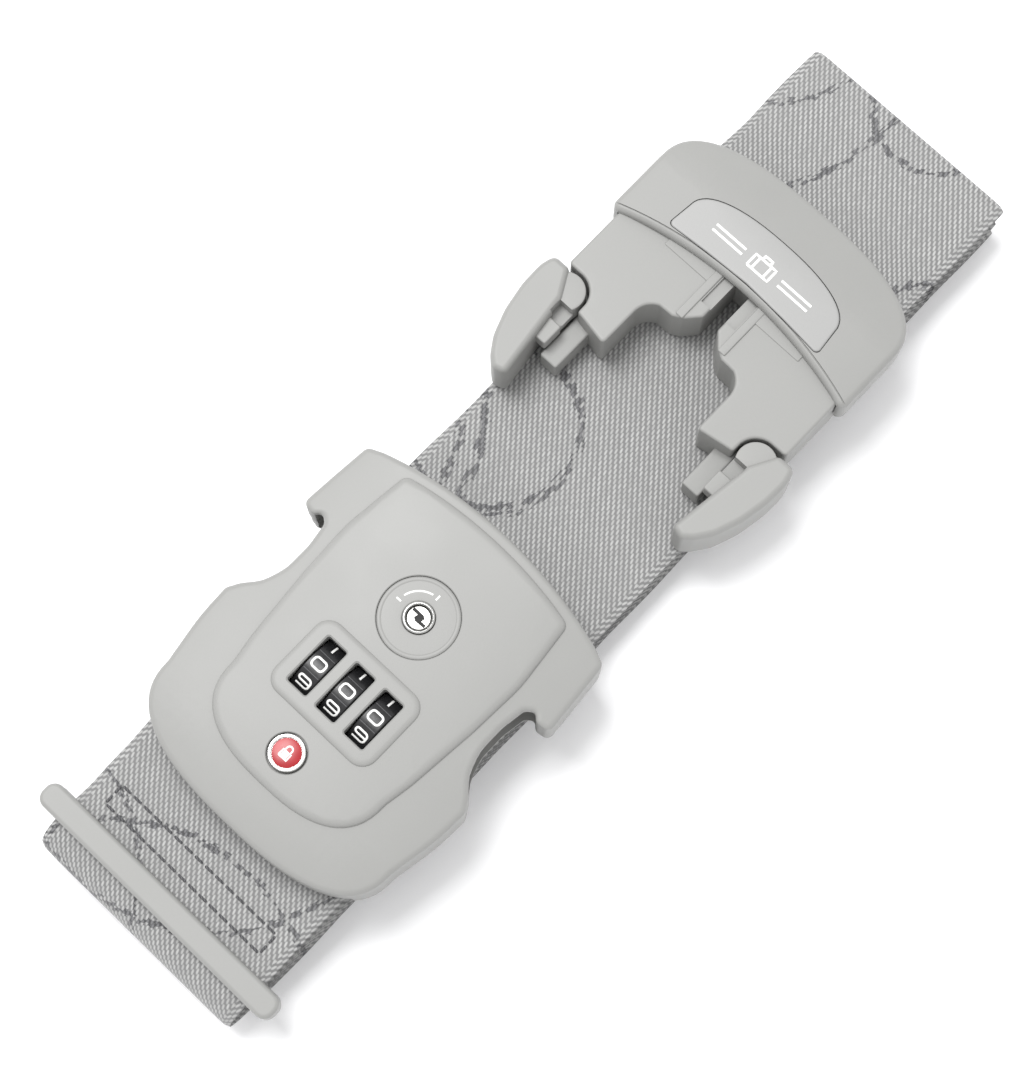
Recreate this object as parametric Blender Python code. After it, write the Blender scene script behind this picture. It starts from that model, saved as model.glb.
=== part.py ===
"""Luggage strap: 50 mm webbing folded flat under a three-dial lock buckle and its plug.

The frame is +X along the strap from the lock to the plug, +Y to the left, +Z up.  The origin is
under the middle of the folded strap, on the surface that it lies on.
"""
import math

import bmesh
import bpy
from mathutils import Matrix, Vector

MM = 0.001

# --- driving dimensions ---------------------------------------------------------------------
CLEAR = 0.3 * MM             # gap left between pieces that touch or run on each other

WEB_WIDTH = 50 * MM
WEB_THICK = 1.0 * MM
WEB_GAP = 0.25 * MM          # air between two layers of the folded strap
PACK_LAYERS = 9              # odd, so that the two ends leave the pack at opposite ends
RIGHT_LOOP = 29.2 * MM       # folded strap that shows beyond the plug
HEM_LENGTH = 18.6 * MM       # middle of the keeper to the back of the lock
BUCKLE_GAP = 40.8 * MM       # open space between the lock and the plug's legs

LOCK_SIDE = 6.9 * MM         # lock's side beyond the webbing's edge
LOCK_SPLIT = 6.0 * MM        # height of the joint between the two shells, over the underside
LOCK_WALL = 1.5 * MM
FRONT_BOW = 5.3 * MM         # how far the front edge bulges, and the plug cover's edge with it
REAR_CORNER = 14.3 * MM      # length of the lock's rounded back, from its webbing bar
PANEL_RISE = 1.0 * MM        # raised panel on the lock's top
PANEL_INSET = 11.5 * MM      # panel's side inside the lock's side
DIAL_FRAME_RISE = 0.6 * MM   # raised surround of the dial windows, over the panel
NOTCH_FRONT = 21.3 * MM      # finger notch in the lock's side, behind its front edge
NOTCH_LENGTH = 21.7 * MM
NOTCH_DEPTH = 6.9 * MM

DIAL_RADIUS = 7.0 * MM
DIAL_WIDTH = 4.4 * MM
DIAL_PITCH = 7.25 * MM
DIAL_COUNT = 3
DIAL_SUNK = 0.6 * MM         # tops of the dials below their surround
DIAL_FLOOR_GAP = 1.0 * MM    # under the dials
DIAL_AHEAD = 3.65 * MM       # reset button's middle to the front of the dials
DIAL_BEHIND = 1.8 * MM       # room behind the dials for the detent leaves
WINDOW_MARGIN = 0.24 * MM     # round a dial where it comes through its window
HUB_RADIUS = 3.3 * MM
SHAFT_RADIUS = 1.4 * MM
SHAFT_SEAT = 4.4 * MM        # shaft beyond the outer dials' pitch at each end

KEY_BACK = 22.7 * MM         # key cylinder behind the lock's front edge
KEY_DISC_RADIUS = 7.9 * MM
KEY_DISC_SUNK = 1.2 * MM
KEY_COLLAR_RADIUS = 3.1 * MM
KEY_RADIUS = 2.3 * MM
CAM_REACH = 4.6 * MM         # the key cam's lobe, which pushes the locking plate back
CAM_WIDTH = 1.6 * MM
BADGE_BEHIND = 8.35 * MM     # badge's middle behind the dials
BADGE_RADIUS = 3.6 * MM
BADGE_SUNK = 0.9 * MM

PLATE_HEIGHT = 9.4 * MM      # locking plate over the lock's underside
PLATE_THICK = 1.4 * MM
PLATE_TRAVEL = 1.5 * MM
PLATE_BAND = 1.2 * MM        # the strip of plate that the cam pushes
RESET_RADIUS = 2.2 * MM
RESET_FLANGE = 0.9 * MM
SPRING_RADIUS = 1.9 * MM     # reset spring, to the middle of its wire
SPRING_WIRE = 0.4 * MM
BRIDGE = 5.45 * MM           # solid wall between the dials' pocket and the webbing's slot
BAR_RADIUS = 1.5 * MM        # the steel bars that the webbing turns round
BAR_ROOM = 1.1 * MM          # open space round the webbing on a bar
BAR_WALL = 4.6 * MM          # lock's side left past the end of its bar

COVER_LENGTH = 23.0 * MM
COVER_MARGIN = 5.2 * MM      # cover's side beyond the webbing's edge
COVER_WALL = 1.6 * MM
COVER_SIDE = 10 * MM         # straight part of the cover's side, before its rear corner
COVER_RISE = 2.3 * MM        # cover's top over the plug's top
COVER_LOW = 5.0 * MM         # cover's lower edge over the plug's underside
PLATE_SUNK = 0.8 * MM        # nameplate's pocket in the cover
PLUG_PLAY = 0.8 * MM         # between the plug and the lock's two walls, together
PLUG_BAR_BACK = 16.2 * MM    # plug's bar behind the cover's front edge
PLUG_BAR_WALL = 0.8 * MM
LEG_REACH = 25.9 * MM        # leg ends ahead of the cover's front edge
CUTOUT_HALF_WIDTH = 12.3 * MM
CUTOUT_CORNER = 4.6 * MM
CUTOUT_REACH = 16.3 * MM     # middle of the arch's corner ahead of the cover
SLOT_HALF_WIDTH = 1.9 * MM

WING_AHEAD = 23.0 * MM       # wing pivots ahead of the cover's front edge
WING_INSET = 3.4 * MM        # pivots inside the plug's side
WING_HUB_RADIUS = 4.1 * MM
WING_LENGTH = 20.8 * MM      # pivot to paddle tip
WING_ROOM = 9.2 * MM         # lock's side channel past the closed paddle tips
HUB_SUNK = 0.9 * MM
FINGER_INSET = 4.2 * MM      # catch finger's inner face inside the pivot
PRONG_WIDTH = 3.8 * MM
PRONG_LENGTH = 8.6 * MM
PIN_RADIUS = 1.2 * MM
PIN_LENGTH = 7.4 * MM
WING_SPRING_RADIUS = 2.2 * MM
WING_SPRING_WIRE = 0.5 * MM
WING_SPRING_HEIGHT = 3.0 * MM

KEEPER_WIDTH = 5.2 * MM
KEEPER_MARGIN = 5.2 * MM     # keeper's end beyond the webbing's edge
KEEPER_BAR = 1.6 * MM
KEEPER_TOP_BAR = 2.4 * MM
KEEPER_TRAVEL = 1.5 * MM
KEEPER_OVER_FOLD = 1.5 * MM  # how far the keeper stands over the start of the outer fold
HEM_RISE = 1.7 * MM          # strap's climb from the keeper to the lock

SCREW_RADIUS = 1.0 * MM
SCREW_HEAD_RADIUS = 1.9 * MM
SCREW_HEAD = 1.3 * MM
SCREW_SUNK = 0.2 * MM

# --- sizes that follow ----------------------------------------------------------------------
HALF_WEB = WEB_WIDTH / 2
SIDE_ROOM = HALF_WEB + 1.0 * MM                  # half width of a slot that passes the webbing
LAYER_PITCH = WEB_THICK + WEB_GAP
PACK_HEIGHT = PACK_LAYERS * LAYER_PITCH - WEB_GAP
DECK = PACK_HEIGHT + CLEAR                       # the buckles' undersides
BAR_TURN = BAR_RADIUS + CLEAR + WEB_THICK / 2    # bar's middle to the webbing's middle

# along the lock, behind its front edge
PLATE_BACK = KEY_BACK + KEY_COLLAR_RADIUS + 2 * CLEAR
RESET_BACK = PLATE_BACK + PLATE_BAND + PLATE_TRAVEL + SPRING_RADIUS + SPRING_WIRE / 2 + CLEAR
DIAL_BACK = RESET_BACK + DIAL_AHEAD + DIAL_RADIUS
POCKET_BACK = DIAL_BACK + DIAL_RADIUS + DIAL_BEHIND
WEB_ROOM_BACK = POCKET_BACK + BRIDGE
BAR_BACK = WEB_ROOM_BACK + BAR_RADIUS + WEB_THICK + BAR_ROOM
LOCK_LENGTH = BAR_BACK + REAR_CORNER

# along the strap
KEEPER_WEB_Z = DECK + KEEPER_BAR + CLEAR + WEB_THICK / 2
OUTER_TURN = (KEEPER_WEB_Z - WEB_THICK / 2) / 2 + WEB_THICK / 2 + 2 * CLEAR
KEEPER_SET = OUTER_TURN - 2 * CLEAR - KEEPER_OVER_FOLD + KEEPER_WIDTH / 2
PACK_LENGTH = (KEEPER_SET + HEM_LENGTH + LOCK_LENGTH + BUCKLE_GAP + LEG_REACH + COVER_LENGTH
               + RIGHT_LOOP)
KEEPER_X = KEEPER_SET - PACK_LENGTH / 2
LOCK_REAR = KEEPER_X + HEM_LENGTH
LOCK_FRONT = LOCK_REAR + LOCK_LENGTH
PLUG_FRONT = LOCK_FRONT + BUCKLE_GAP + LEG_REACH
LEG_END = PLUG_FRONT - LEG_REACH
WING_X = PLUG_FRONT - WING_AHEAD
KEY_X = LOCK_FRONT - KEY_BACK
RESET_X = LOCK_FRONT - RESET_BACK
DIAL_X = LOCK_FRONT - DIAL_BACK
BADGE_X = DIAL_X - DIAL_RADIUS - BADGE_BEHIND
LOCK_BAR_X = LOCK_FRONT - BAR_BACK
PLUG_BAR_X = PLUG_FRONT + PLUG_BAR_BACK
HEM_START = LOCK_REAR - 2.8 * MM                 # turned-back webbing closes up behind the lock
HEM_END = KEEPER_X + KEEPER_WIDTH / 2 + KEEPER_TRAVEL + CLEAR

# across the strap
LOCK_HALF_WIDTH = HALF_WEB + LOCK_SIDE
COVER_HALF_WIDTH = HALF_WEB + COVER_MARGIN
KEEPER_HALF_LENGTH = HALF_WEB + KEEPER_MARGIN
PLUG_HALF_WIDTH = COVER_HALF_WIDTH - COVER_WALL - CLEAR
WING_PIVOT_Y = PLUG_HALF_WIDTH - WING_INSET
FINGER_Y = WING_PIVOT_Y - FINGER_INSET
PRONG_OUTER_Y = FINGER_Y - 2 * CLEAR
POCKET_HALF = DIAL_COUNT * DIAL_PITCH / 2 + 3.2 * MM
SHAFT_HALF = DIAL_COUNT * DIAL_PITCH / 2 + SHAFT_SEAT

# heights
LOCK_HEIGHT = (LOCK_WALL + DIAL_FLOOR_GAP + 2 * DIAL_RADIUS + DIAL_SUNK
               - PANEL_RISE - DIAL_FRAME_RISE)
PLUG_HEIGHT = LOCK_HEIGHT - 2 * LOCK_WALL - PLUG_PLAY
LOCK_TOP = DECK + LOCK_HEIGHT
PANEL_TOP = LOCK_TOP + PANEL_RISE
FRAME_TOP = PANEL_TOP + DIAL_FRAME_RISE
SPLIT = DECK + LOCK_SPLIT
CEILING = LOCK_TOP - LOCK_WALL
WINDOW_DEPTH = FRAME_TOP - DIAL_SUNK - CEILING
WINDOW_LENGTH = 2 * (WINDOW_MARGIN + math.sqrt(DIAL_RADIUS ** 2 - (DIAL_RADIUS - WINDOW_DEPTH) ** 2))
FLOOR = DECK + LOCK_WALL
DIAL_Z = FRAME_TOP - DIAL_SUNK - DIAL_RADIUS
PLATE_Z = DECK + PLATE_HEIGHT
PLUG_TOP = DECK + PLUG_HEIGHT
COVER_TOP = PLUG_TOP + COVER_RISE
PIN_LOW = DECK + 1.1 * MM
HUB_FLOOR = DECK + 3.7 * MM                      # the plug's ledge under each wing hub
LOCK_BAR_Z = DECK + BAR_RADIUS + WEB_THICK + 5 * CLEAR
PLUG_BAR_Z = DECK + BAR_RADIUS + WEB_THICK + CLEAR
RESET_LOW = DECK + 0.4 * MM


# --- making tools ---------------------------------------------------------------------------
def clear_scene():
    for item in list(bpy.data.objects):
        bpy.data.objects.remove(item, do_unlink=True)


def material(name, rgb, roughness, metallic=0.0):
    made = bpy.data.materials.new(name)
    made.use_nodes = True
    shader = made.node_tree.nodes["Principled BSDF"]
    shader.inputs["Base Color"].default_value = (*rgb, 1.0)
    shader.inputs["Roughness"].default_value = roughness
    shader.inputs["Metallic"].default_value = metallic
    return made


def keep(name, bm, finish, origin=(0.0, 0.0, 0.0), smooth=False):
    """Turn a finished bmesh, drawn in world places, into an object with the given origin."""
    bmesh.ops.recalc_face_normals(bm, faces=bm.faces)
    bmesh.ops.translate(bm, vec=-Vector(origin), verts=bm.verts)
    mesh = bpy.data.meshes.new(name)
    bm.to_mesh(mesh)
    bm.free()
    if smooth:
        mesh.shade_smooth()
        mesh.set_sharp_from_angle(angle=math.radians(35))
    if finish:
        mesh.materials.append(finish)
    made = bpy.data.objects.new(name, mesh)
    made.location = origin
    bpy.context.collection.objects.link(made)
    return made


AXES = {"X": Matrix(((0, 0, 1), (1, 0, 0), (0, 1, 0))),
        "Y": Matrix(((1, 0, 0), (0, 0, -1), (0, 1, 0))),
        "Z": Matrix.Identity(3)}


def add_slab(bm, outline, low, high, axis="Z", edge=0.0):
    """Add a straight block: an outline in the plane across the axis, run from low to high."""
    turn = AXES[axis].to_4x4()
    sign = -1 if axis == "Y" else 1
    corners = [bm.verts.new((a, b, sign * low)) for a, b in outline]
    face = bm.faces.new(corners)
    pulled = bmesh.ops.extrude_face_region(bm, geom=[face])["geom"]
    top = [v for v in pulled if isinstance(v, bmesh.types.BMVert)]
    bmesh.ops.translate(bm, vec=(0, 0, sign * (high - low)), verts=top)
    if edge:
        rim = [e for e in bm.edges if e.verts[0] in top and e.verts[1] in top]
        bmesh.ops.bevel(bm, geom=rim, offset=edge, segments=2, profile=0.5, affect="EDGES",
                        material=-1)
    bmesh.ops.transform(bm, matrix=turn, verts=bm.verts)


def slab(name, outline, low, high, finish, axis="Z", edge=0.0, origin=(0.0, 0.0, 0.0)):
    bm = bmesh.new()
    add_slab(bm, outline, low, high, axis, edge)
    return keep(name, bm, finish, origin)


def rectangle(x0, x1, y0, y1):
    return [(x0, y0), (x1, y0), (x1, y1), (x0, y1)]


def arc(cx, cy, radius, start, end, steps):
    turn = [math.radians(start + (end - start) * i / steps) for i in range(steps + 1)]
    return [(cx + radius * math.cos(t), cy + radius * math.sin(t)) for t in turn]


def rounded(x0, x1, y0, y1, radius, steps=4):
    corners = ((x1, y1, 0), (x0, y1, 90), (x0, y0, 180), (x1, y0, 270))
    points = []
    for x, y, start in corners:
        cx = x - radius if x == x1 else x + radius
        cy = y - radius if y == y1 else y + radius
        points += arc(cx, cy, radius, start, start + 90, steps)
    return points


def mirrored(half):
    """A whole outline from its +Y half, given from one end of the middle line to the other."""
    return half + [(x, -y) for x, y in reversed(half) if y > 1e-6]


def turned(name, profile, place, finish, axis="Z", segments=32, origin=None):
    """A round piece from its closed (radius, height) profile, standing on place along axis."""
    bm = bmesh.new()
    ring = [bm.verts.new((radius, 0, height)) for radius, height in profile]
    edges = [bm.edges.new((a, b)) for a, b in zip(ring, ring[1:] + ring[:1])
             if a.co.x > 1e-9 or b.co.x > 1e-9]
    bmesh.ops.spin(bm, geom=ring + edges, cent=(0, 0, 0), axis=(0, 0, 1), steps=segments,
                   angle=math.tau, use_merge=True)
    bmesh.ops.remove_doubles(bm, verts=bm.verts, dist=1e-7)
    bmesh.ops.transform(bm, matrix=Matrix.Translation(place) @ AXES[axis].to_4x4(), verts=bm.verts)
    return keep(name, bm, finish, origin or (0.0, 0.0, 0.0), smooth=True)


def rod(name, radius, length, place, finish, axis="Z", segments=24, origin=None):
    profile = [(0, 0), (radius, 0), (radius, length), (0, length)]
    return turned(name, profile, place, finish, axis, segments, origin)


def sleeve(name, inner, outer, length, place, finish, axis="Z", segments=32, origin=None):
    profile = [(inner, 0), (outer, 0), (outer, length), (inner, length)]
    return turned(name, profile, place, finish, axis, segments, origin)


def combine(target, tool, operation):
    tool.hide_render = True
    tool.display_type = "WIRE"
    change = target.modifiers.new(operation.title(), "BOOLEAN")
    change.operation = operation
    change.solver = "EXACT"
    change.object = tool


def cut(target, *tools):
    for tool in tools:
        combine(target, tool, "DIFFERENCE")


def weld(target, *tools):
    for tool in tools:
        combine(target, tool, "UNION")


def coil(name, centre, radius, wire, height, turns, finish):
    """A round-wire compression spring standing on centre."""
    curve = bpy.data.curves.new(name, "CURVE")
    curve.dimensions = "3D"
    curve.bevel_depth = wire / 2
    curve.bevel_resolution = 1
    curve.use_fill_caps = True
    curve.render_resolution_u = 0
    steps = int(turns * 14)
    line = curve.splines.new("POLY")
    line.points.add(steps)
    for i, point in enumerate(line.points):
        angle = math.tau * turns * i / steps
        rise = wire / 2 + (height - wire) * i / steps
        point.co = (radius * math.cos(angle), radius * math.sin(angle), rise, 1)
    curve.materials.append(finish)
    made = bpy.data.objects.new(name, curve)
    made.location = centre
    bpy.context.collection.objects.link(made)
    return made


# --- plans shared by pieces that fit each other ----------------------------------------------
def front_edge(middle, half, steps=10):
    """Half of the bowed edge where the lock and the plug's cover meet, from y 0 out to half."""
    radius = (LOCK_HALF_WIDTH ** 2 + FRONT_BOW ** 2) / (2 * FRONT_BOW)
    reach = [half * i / steps for i in range(steps + 1)]
    return [(middle - (radius - math.sqrt(radius ** 2 - y ** 2)), y) for y in reach]


def rear_corner(start, length, half, steps=12, squareness=0.77):
    """A full soft corner from the side line round to the middle of the rear edge."""
    points = []
    for i in range(steps + 1):
        t = math.pi / 2 * (1 - i / steps)
        points.append((start + length * abs(math.cos(t)) ** squareness,
                       half * abs(math.sin(t)) ** squareness))
    return points


def lock_plan():
    """The lock's outline: bowed front, a finger notch in each side and a round back."""
    side = LOCK_HALF_WIDTH
    deep = side - NOTCH_DEPTH
    front, rear = -NOTCH_FRONT, -NOTCH_FRONT - NOTCH_LENGTH
    half = front_edge(0, side - 2.6 * MM)
    half += [(-6 * MM, side - 1.6 * MM), (-13 * MM, side - 0.6 * MM), (front + 0.7 * MM, side)]
    half += [(front, side - 0.8 * MM), (front, side - 4.6 * MM)]
    half += [(front - 1.7 * MM, deep + 0.9 * MM), (front - 5.2 * MM, deep + 0.2 * MM)]
    half += [(front - 10.2 * MM, deep), (front - 14.2 * MM, deep + 0.9 * MM)]
    half += [(rear + 4.4 * MM, deep + 2.9 * MM), (rear + 2 * MM, deep + 5.2 * MM)]
    half += [(rear, side - 0.8 * MM), (rear - 7 * MM, side - 1.6 * MM)]
    half += [(-x, y) for x, y in rear_corner(BAR_BACK, REAR_CORNER, side - 3 * MM)]
    return mirrored([(LOCK_FRONT + x, max(y, 0.0)) for x, y in half])


def panel_plan():
    """The raised panel on the lock's top, inside the outline."""
    side = LOCK_HALF_WIDTH - PANEL_INSET
    length = LOCK_LENGTH - 9.5 * MM
    half = front_edge(-2.4 * MM, side, 6)
    half += [(-19 * MM, side + 2 * MM), (-31 * MM, side + 1.4 * MM), (-46 * MM, side + 0.2 * MM)]
    half += [(-x, y) for x, y in rear_corner(length - 12.8 * MM, 12.8 * MM, side - 0.2 * MM, 8)]
    return mirrored([(LOCK_FRONT + x, max(y, 0.0)) for x, y in half])


def leg_plan(grow=0.0):
    """One leg's inner side, from the slot behind the arch to the corner by the wing's hub.

    grow moves it outwards, for the room that the lock leaves round the plug.
    """
    start = PLUG_FRONT + 1.2 * MM
    inner = CUTOUT_HALF_WIDTH - grow
    slot = SLOT_HALF_WIDTH - grow
    end = LEG_END - grow
    corner_x, corner_y = PLUG_FRONT - CUTOUT_REACH - 0.4 * MM, inner - CUTOUT_CORNER
    half = [(start, slot), (PLUG_FRONT - 8.7 * MM, slot), (PLUG_FRONT - 11.6 * MM, 4.5 * MM - grow)]
    half += [(PLUG_FRONT - 12.8 * MM, 6.4 * MM - grow)]
    half += arc(corner_x, corner_y, CUTOUT_CORNER, 35, 100, 5)
    half += [(end, inner), (end + 1.4 * MM, WING_PIVOT_Y - WING_HUB_RADIUS - CLEAR)]
    return half


def plug_outline():
    """The plug's body: two legs round an arched cut-out, and a slot behind the arch."""
    length = COVER_LENGTH - 2.2 * MM
    shoulder = WING_X + WING_HUB_RADIUS + CLEAR
    half = leg_plan() + [(WING_X, WING_PIVOT_Y - WING_HUB_RADIUS - CLEAR)]
    half += [(shoulder, WING_PIVOT_Y), (shoulder, PLUG_HALF_WIDTH)]
    half += [(PLUG_FRONT + x, y) for x, y in
             rear_corner(COVER_SIDE, length - COVER_SIDE, PLUG_HALF_WIDTH)]
    return mirrored([(x, max(y, 0.0)) for x, y in half])


def cover_plan(inset=0.0):
    half = front_edge(PLUG_FRONT - (0.5 * MM if inset else 0), COVER_HALF_WIDTH - 0.6 * MM - inset)
    half += [(PLUG_FRONT - 3.0 * MM, COVER_HALF_WIDTH - inset)]
    half += [(PLUG_FRONT + x, y) for x, y in
             rear_corner(COVER_SIDE, COVER_LENGTH - COVER_SIDE - inset, COVER_HALF_WIDTH - inset)]
    return mirrored([(x, max(y, 0.0)) for x, y in half])


def nameplate_plan(grow=0.0):
    half = [(PLUG_FRONT + 1.2 * MM - grow, 0.0), (PLUG_FRONT + 0.2 * MM - grow, 19.4 * MM + grow)]
    half += [(PLUG_FRONT + x + grow, y + grow) for x, y in
             rear_corner(5.6 * MM, 6.8 * MM, 18.9 * MM, 8, 0.9)[:-1]]
    half += [(PLUG_FRONT + 12.4 * MM + grow, 0.0)]
    return mirrored(half)


# --- webbing --------------------------------------------------------------------------------
def fold(x, low, high, side, steps=6):
    """Points of a U-turn at x from height low to height high, bulging to side (+1 or -1)."""
    radius = (high - low) / 2
    return [(x + side * abs(radius) * math.sin(math.pi * i / steps),
             low + radius - radius * math.cos(math.pi * i / steps)) for i in range(steps + 1)]


def ribbon(name, line, finish):
    """A webbing strip: a line in the XZ plane, given the strip's thickness and width."""
    points = [Vector((x, z)) for x, z in line]
    sides = []
    for i, point in enumerate(points):
        before = points[max(i - 1, 0)]
        after = points[min(i + 1, len(points) - 1)]
        first = (point - before).normalized() if i else (after - point).normalized()
        second = (after - point).normalized() if i < len(points) - 1 else first
        along = (first + second).normalized()
        stretch = 1 / max(along.dot(first), 0.5)
        sides.append(Vector((-along.y, along.x)) * (WEB_THICK / 2 * stretch))
    upper = [point + side for point, side in zip(points, sides)]
    lower = [point - side for point, side in zip(points, sides)]
    bm = bmesh.new()
    rows = [[bm.verts.new((p.x, -HALF_WEB, p.y)) for p in edge] for edge in (upper, lower)]
    faces = [bm.faces.new((rows[0][i], rows[0][i + 1], rows[1][i + 1], rows[1][i]))
             for i in range(len(points) - 1)]
    pulled = bmesh.ops.extrude_face_region(bm, geom=faces)["geom"]
    across = [v for v in pulled if isinstance(v, bmesh.types.BMVert)]
    bmesh.ops.translate(bm, vec=(0, WEB_WIDTH, 0), verts=across)
    return keep(name, bm, finish)


def layer_height(layer):
    return WEB_THICK / 2 + layer * LAYER_PITCH


def pack_ends():
    """Where the layers turn at the left and right, set in a little for each inner fold."""
    return OUTER_TURN - PACK_LENGTH / 2, PACK_LENGTH / 2 - LAYER_PITCH - WEB_THICK / 2


def webbing_pack(finish):
    left, right = pack_ends()
    line = [(left - CLEAR, layer_height(0))]
    for layer in range(PACK_LAYERS - 1):
        low, high = layer_height(layer), layer_height(layer + 1)
        if layer % 2 == 0:
            inset = 1.5 * MM * (layer % 4)
            line += fold(right - inset, low, high, 1)
        else:
            inset = 1.0 * MM * (layer % 3)
            line += fold(left + inset, low, high, -1)
    line += [(right - CLEAR, layer_height(PACK_LAYERS - 1))]
    ribbon("webbing_pack", line, finish)


def webbing_lock_end(finish):
    """From under the pack, up and over through the keeper, round the lock's bar, to the hem."""
    left, _ = pack_ends()
    high = KEEPER_WEB_Z
    line = [(left - 2 * CLEAR, layer_height(0))]
    line += fold(left - 2 * CLEAR, layer_height(0), high, -1, 10)[1:]
    line += [(HEM_END + 1 * MM, high), (HEM_START, high + HEM_RISE)]
    line += [(LOCK_BAR_X + BAR_TURN * math.cos(a), LOCK_BAR_Z + BAR_TURN * math.sin(a))
             for a in [math.radians(100 - 20 * i) for i in range(11)]]
    line += [(HEM_START, high + HEM_RISE - LAYER_PITCH), (HEM_END, high + 0.3 * MM - LAYER_PITCH)]
    ribbon("webbing_lock_end", line, finish)


def webbing_plug_end(finish):
    """From the top of the pack, round the plug's bar, to the free tail under it."""
    _, right = pack_ends()
    low = layer_height(PACK_LAYERS - 1)
    high = low + 2 * LAYER_PITCH
    line = fold(right, low, high, 1, 8)
    line += [(PLUG_FRONT + COVER_LENGTH + 8 * MM, high)]
    line += [(PLUG_BAR_X + BAR_TURN * math.cos(a), PLUG_BAR_Z + BAR_TURN * math.sin(a))
             for a in [math.radians(80 + 20 * i) for i in range(11)]]
    line += [(PLUG_BAR_X + 7 * MM, low + LAYER_PITCH), (right - 9 * MM, low + LAYER_PITCH)]
    ribbon("webbing_plug_end", line, finish)


def keeper(finish):
    """The moulded loop that the strap runs through behind the lock."""
    slot_low = DECK + KEEPER_BAR
    slot_high = slot_low + WEB_THICK + 2 * CLEAR
    high = slot_high + KEEPER_TOP_BAR
    half = KEEPER_HALF_LENGTH
    body = slab("keeper", rounded(-half, half, DECK, high, 2.2 * MM),
                KEEPER_X - KEEPER_WIDTH / 2, KEEPER_X + KEEPER_WIDTH / 2, finish, axis="X",
                origin=(KEEPER_X, 0, DECK))
    slot = slab("keeper_slot", rectangle(-SIDE_ROOM, SIDE_ROOM, slot_low, slot_high),
                KEEPER_X - KEEPER_WIDTH, KEEPER_X + KEEPER_WIDTH, None, axis="X")
    cut(body, slot)


# --- lock -----------------------------------------------------------------------------------
def lock_screw_places():
    front = [(LOCK_FRONT - 15.5 * MM, side * 6.5 * MM) for side in (1, -1)]
    rear = [(LOCK_FRONT - 53.6 * MM, side * 17.4 * MM) for side in (1, -1)]
    return front + rear


def plug_room():
    """The space that the plug's legs and wings fill inside the closed buckle."""
    travel = LOCK_FRONT - PLUG_FRONT
    wall = LOCK_HALF_WIDTH - 3.2 * MM
    front = LOCK_FRONT + 2 * MM
    back = LOCK_FRONT - WING_AHEAD - WING_LENGTH - WING_ROOM
    leg = [(x + travel, y) for x, y in leg_plan(0.4 * MM)]
    outline = leg + [(back, leg[-1][1]), (back, wall), (front, wall), (front, leg[0][1])]
    rooms = []
    for side in (1, -1):
        rooms.append(slab(f"plug_room_{side}", [(x, side * y) for x, y in outline], FLOOR,
                          FLOOR + PLUG_HEIGHT + 2 * CLEAR, None))
    return rooms


def mechanism_room():
    """The pocket for dials, hubs and locking plate, open at the shells' joint."""
    outline = rectangle(LOCK_FRONT - POCKET_BACK, KEY_X - KEY_RADIUS, -POCKET_HALF, POCKET_HALF)
    return slab("mechanism_room", outline, FLOOR, CEILING, None)


def webbing_room():
    """The slot under the lock's back for the webbing and its bar."""
    outline = rectangle(LOCK_REAR - 1.7 * MM, LOCK_FRONT - WEB_ROOM_BACK, -SIDE_ROOM, SIDE_ROOM)
    high = LOCK_BAR_Z + BAR_RADIUS + WEB_THICK + 1 * MM
    return slab("webbing_room", outline, DECK - 1 * MM, high, None)


def bar_hole(name, x, z, half):
    return rod(name, BAR_RADIUS + CLEAR, 2 * half, (x, half, z), None, axis="Y", segments=16)


def key_room_cutter():
    """One stepped hole for the key disc, the collar, the cylinder and its cam."""
    bore, swing = KEY_COLLAR_RADIUS + CLEAR, CAM_REACH + 2 * CLEAR
    disc = KEY_DISC_RADIUS + CLEAR
    start = DECK + 3.2 * MM
    cam_low, cam_high = PLATE_HEIGHT - CLEAR, PLATE_HEIGHT + PLATE_THICK + CLEAR
    ledge = PANEL_TOP - DECK - KEY_DISC_SUNK
    steps = [(0, start - DECK), (bore, start - DECK), (bore, cam_low), (swing, cam_low),
             (swing, cam_high), (bore, cam_high), (bore, ledge), (disc, ledge),
             (disc, ledge + 3 * MM), (0, ledge + 3 * MM)]
    return turned("key_room", steps, (KEY_X, 0, DECK), None, segments=40)


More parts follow.
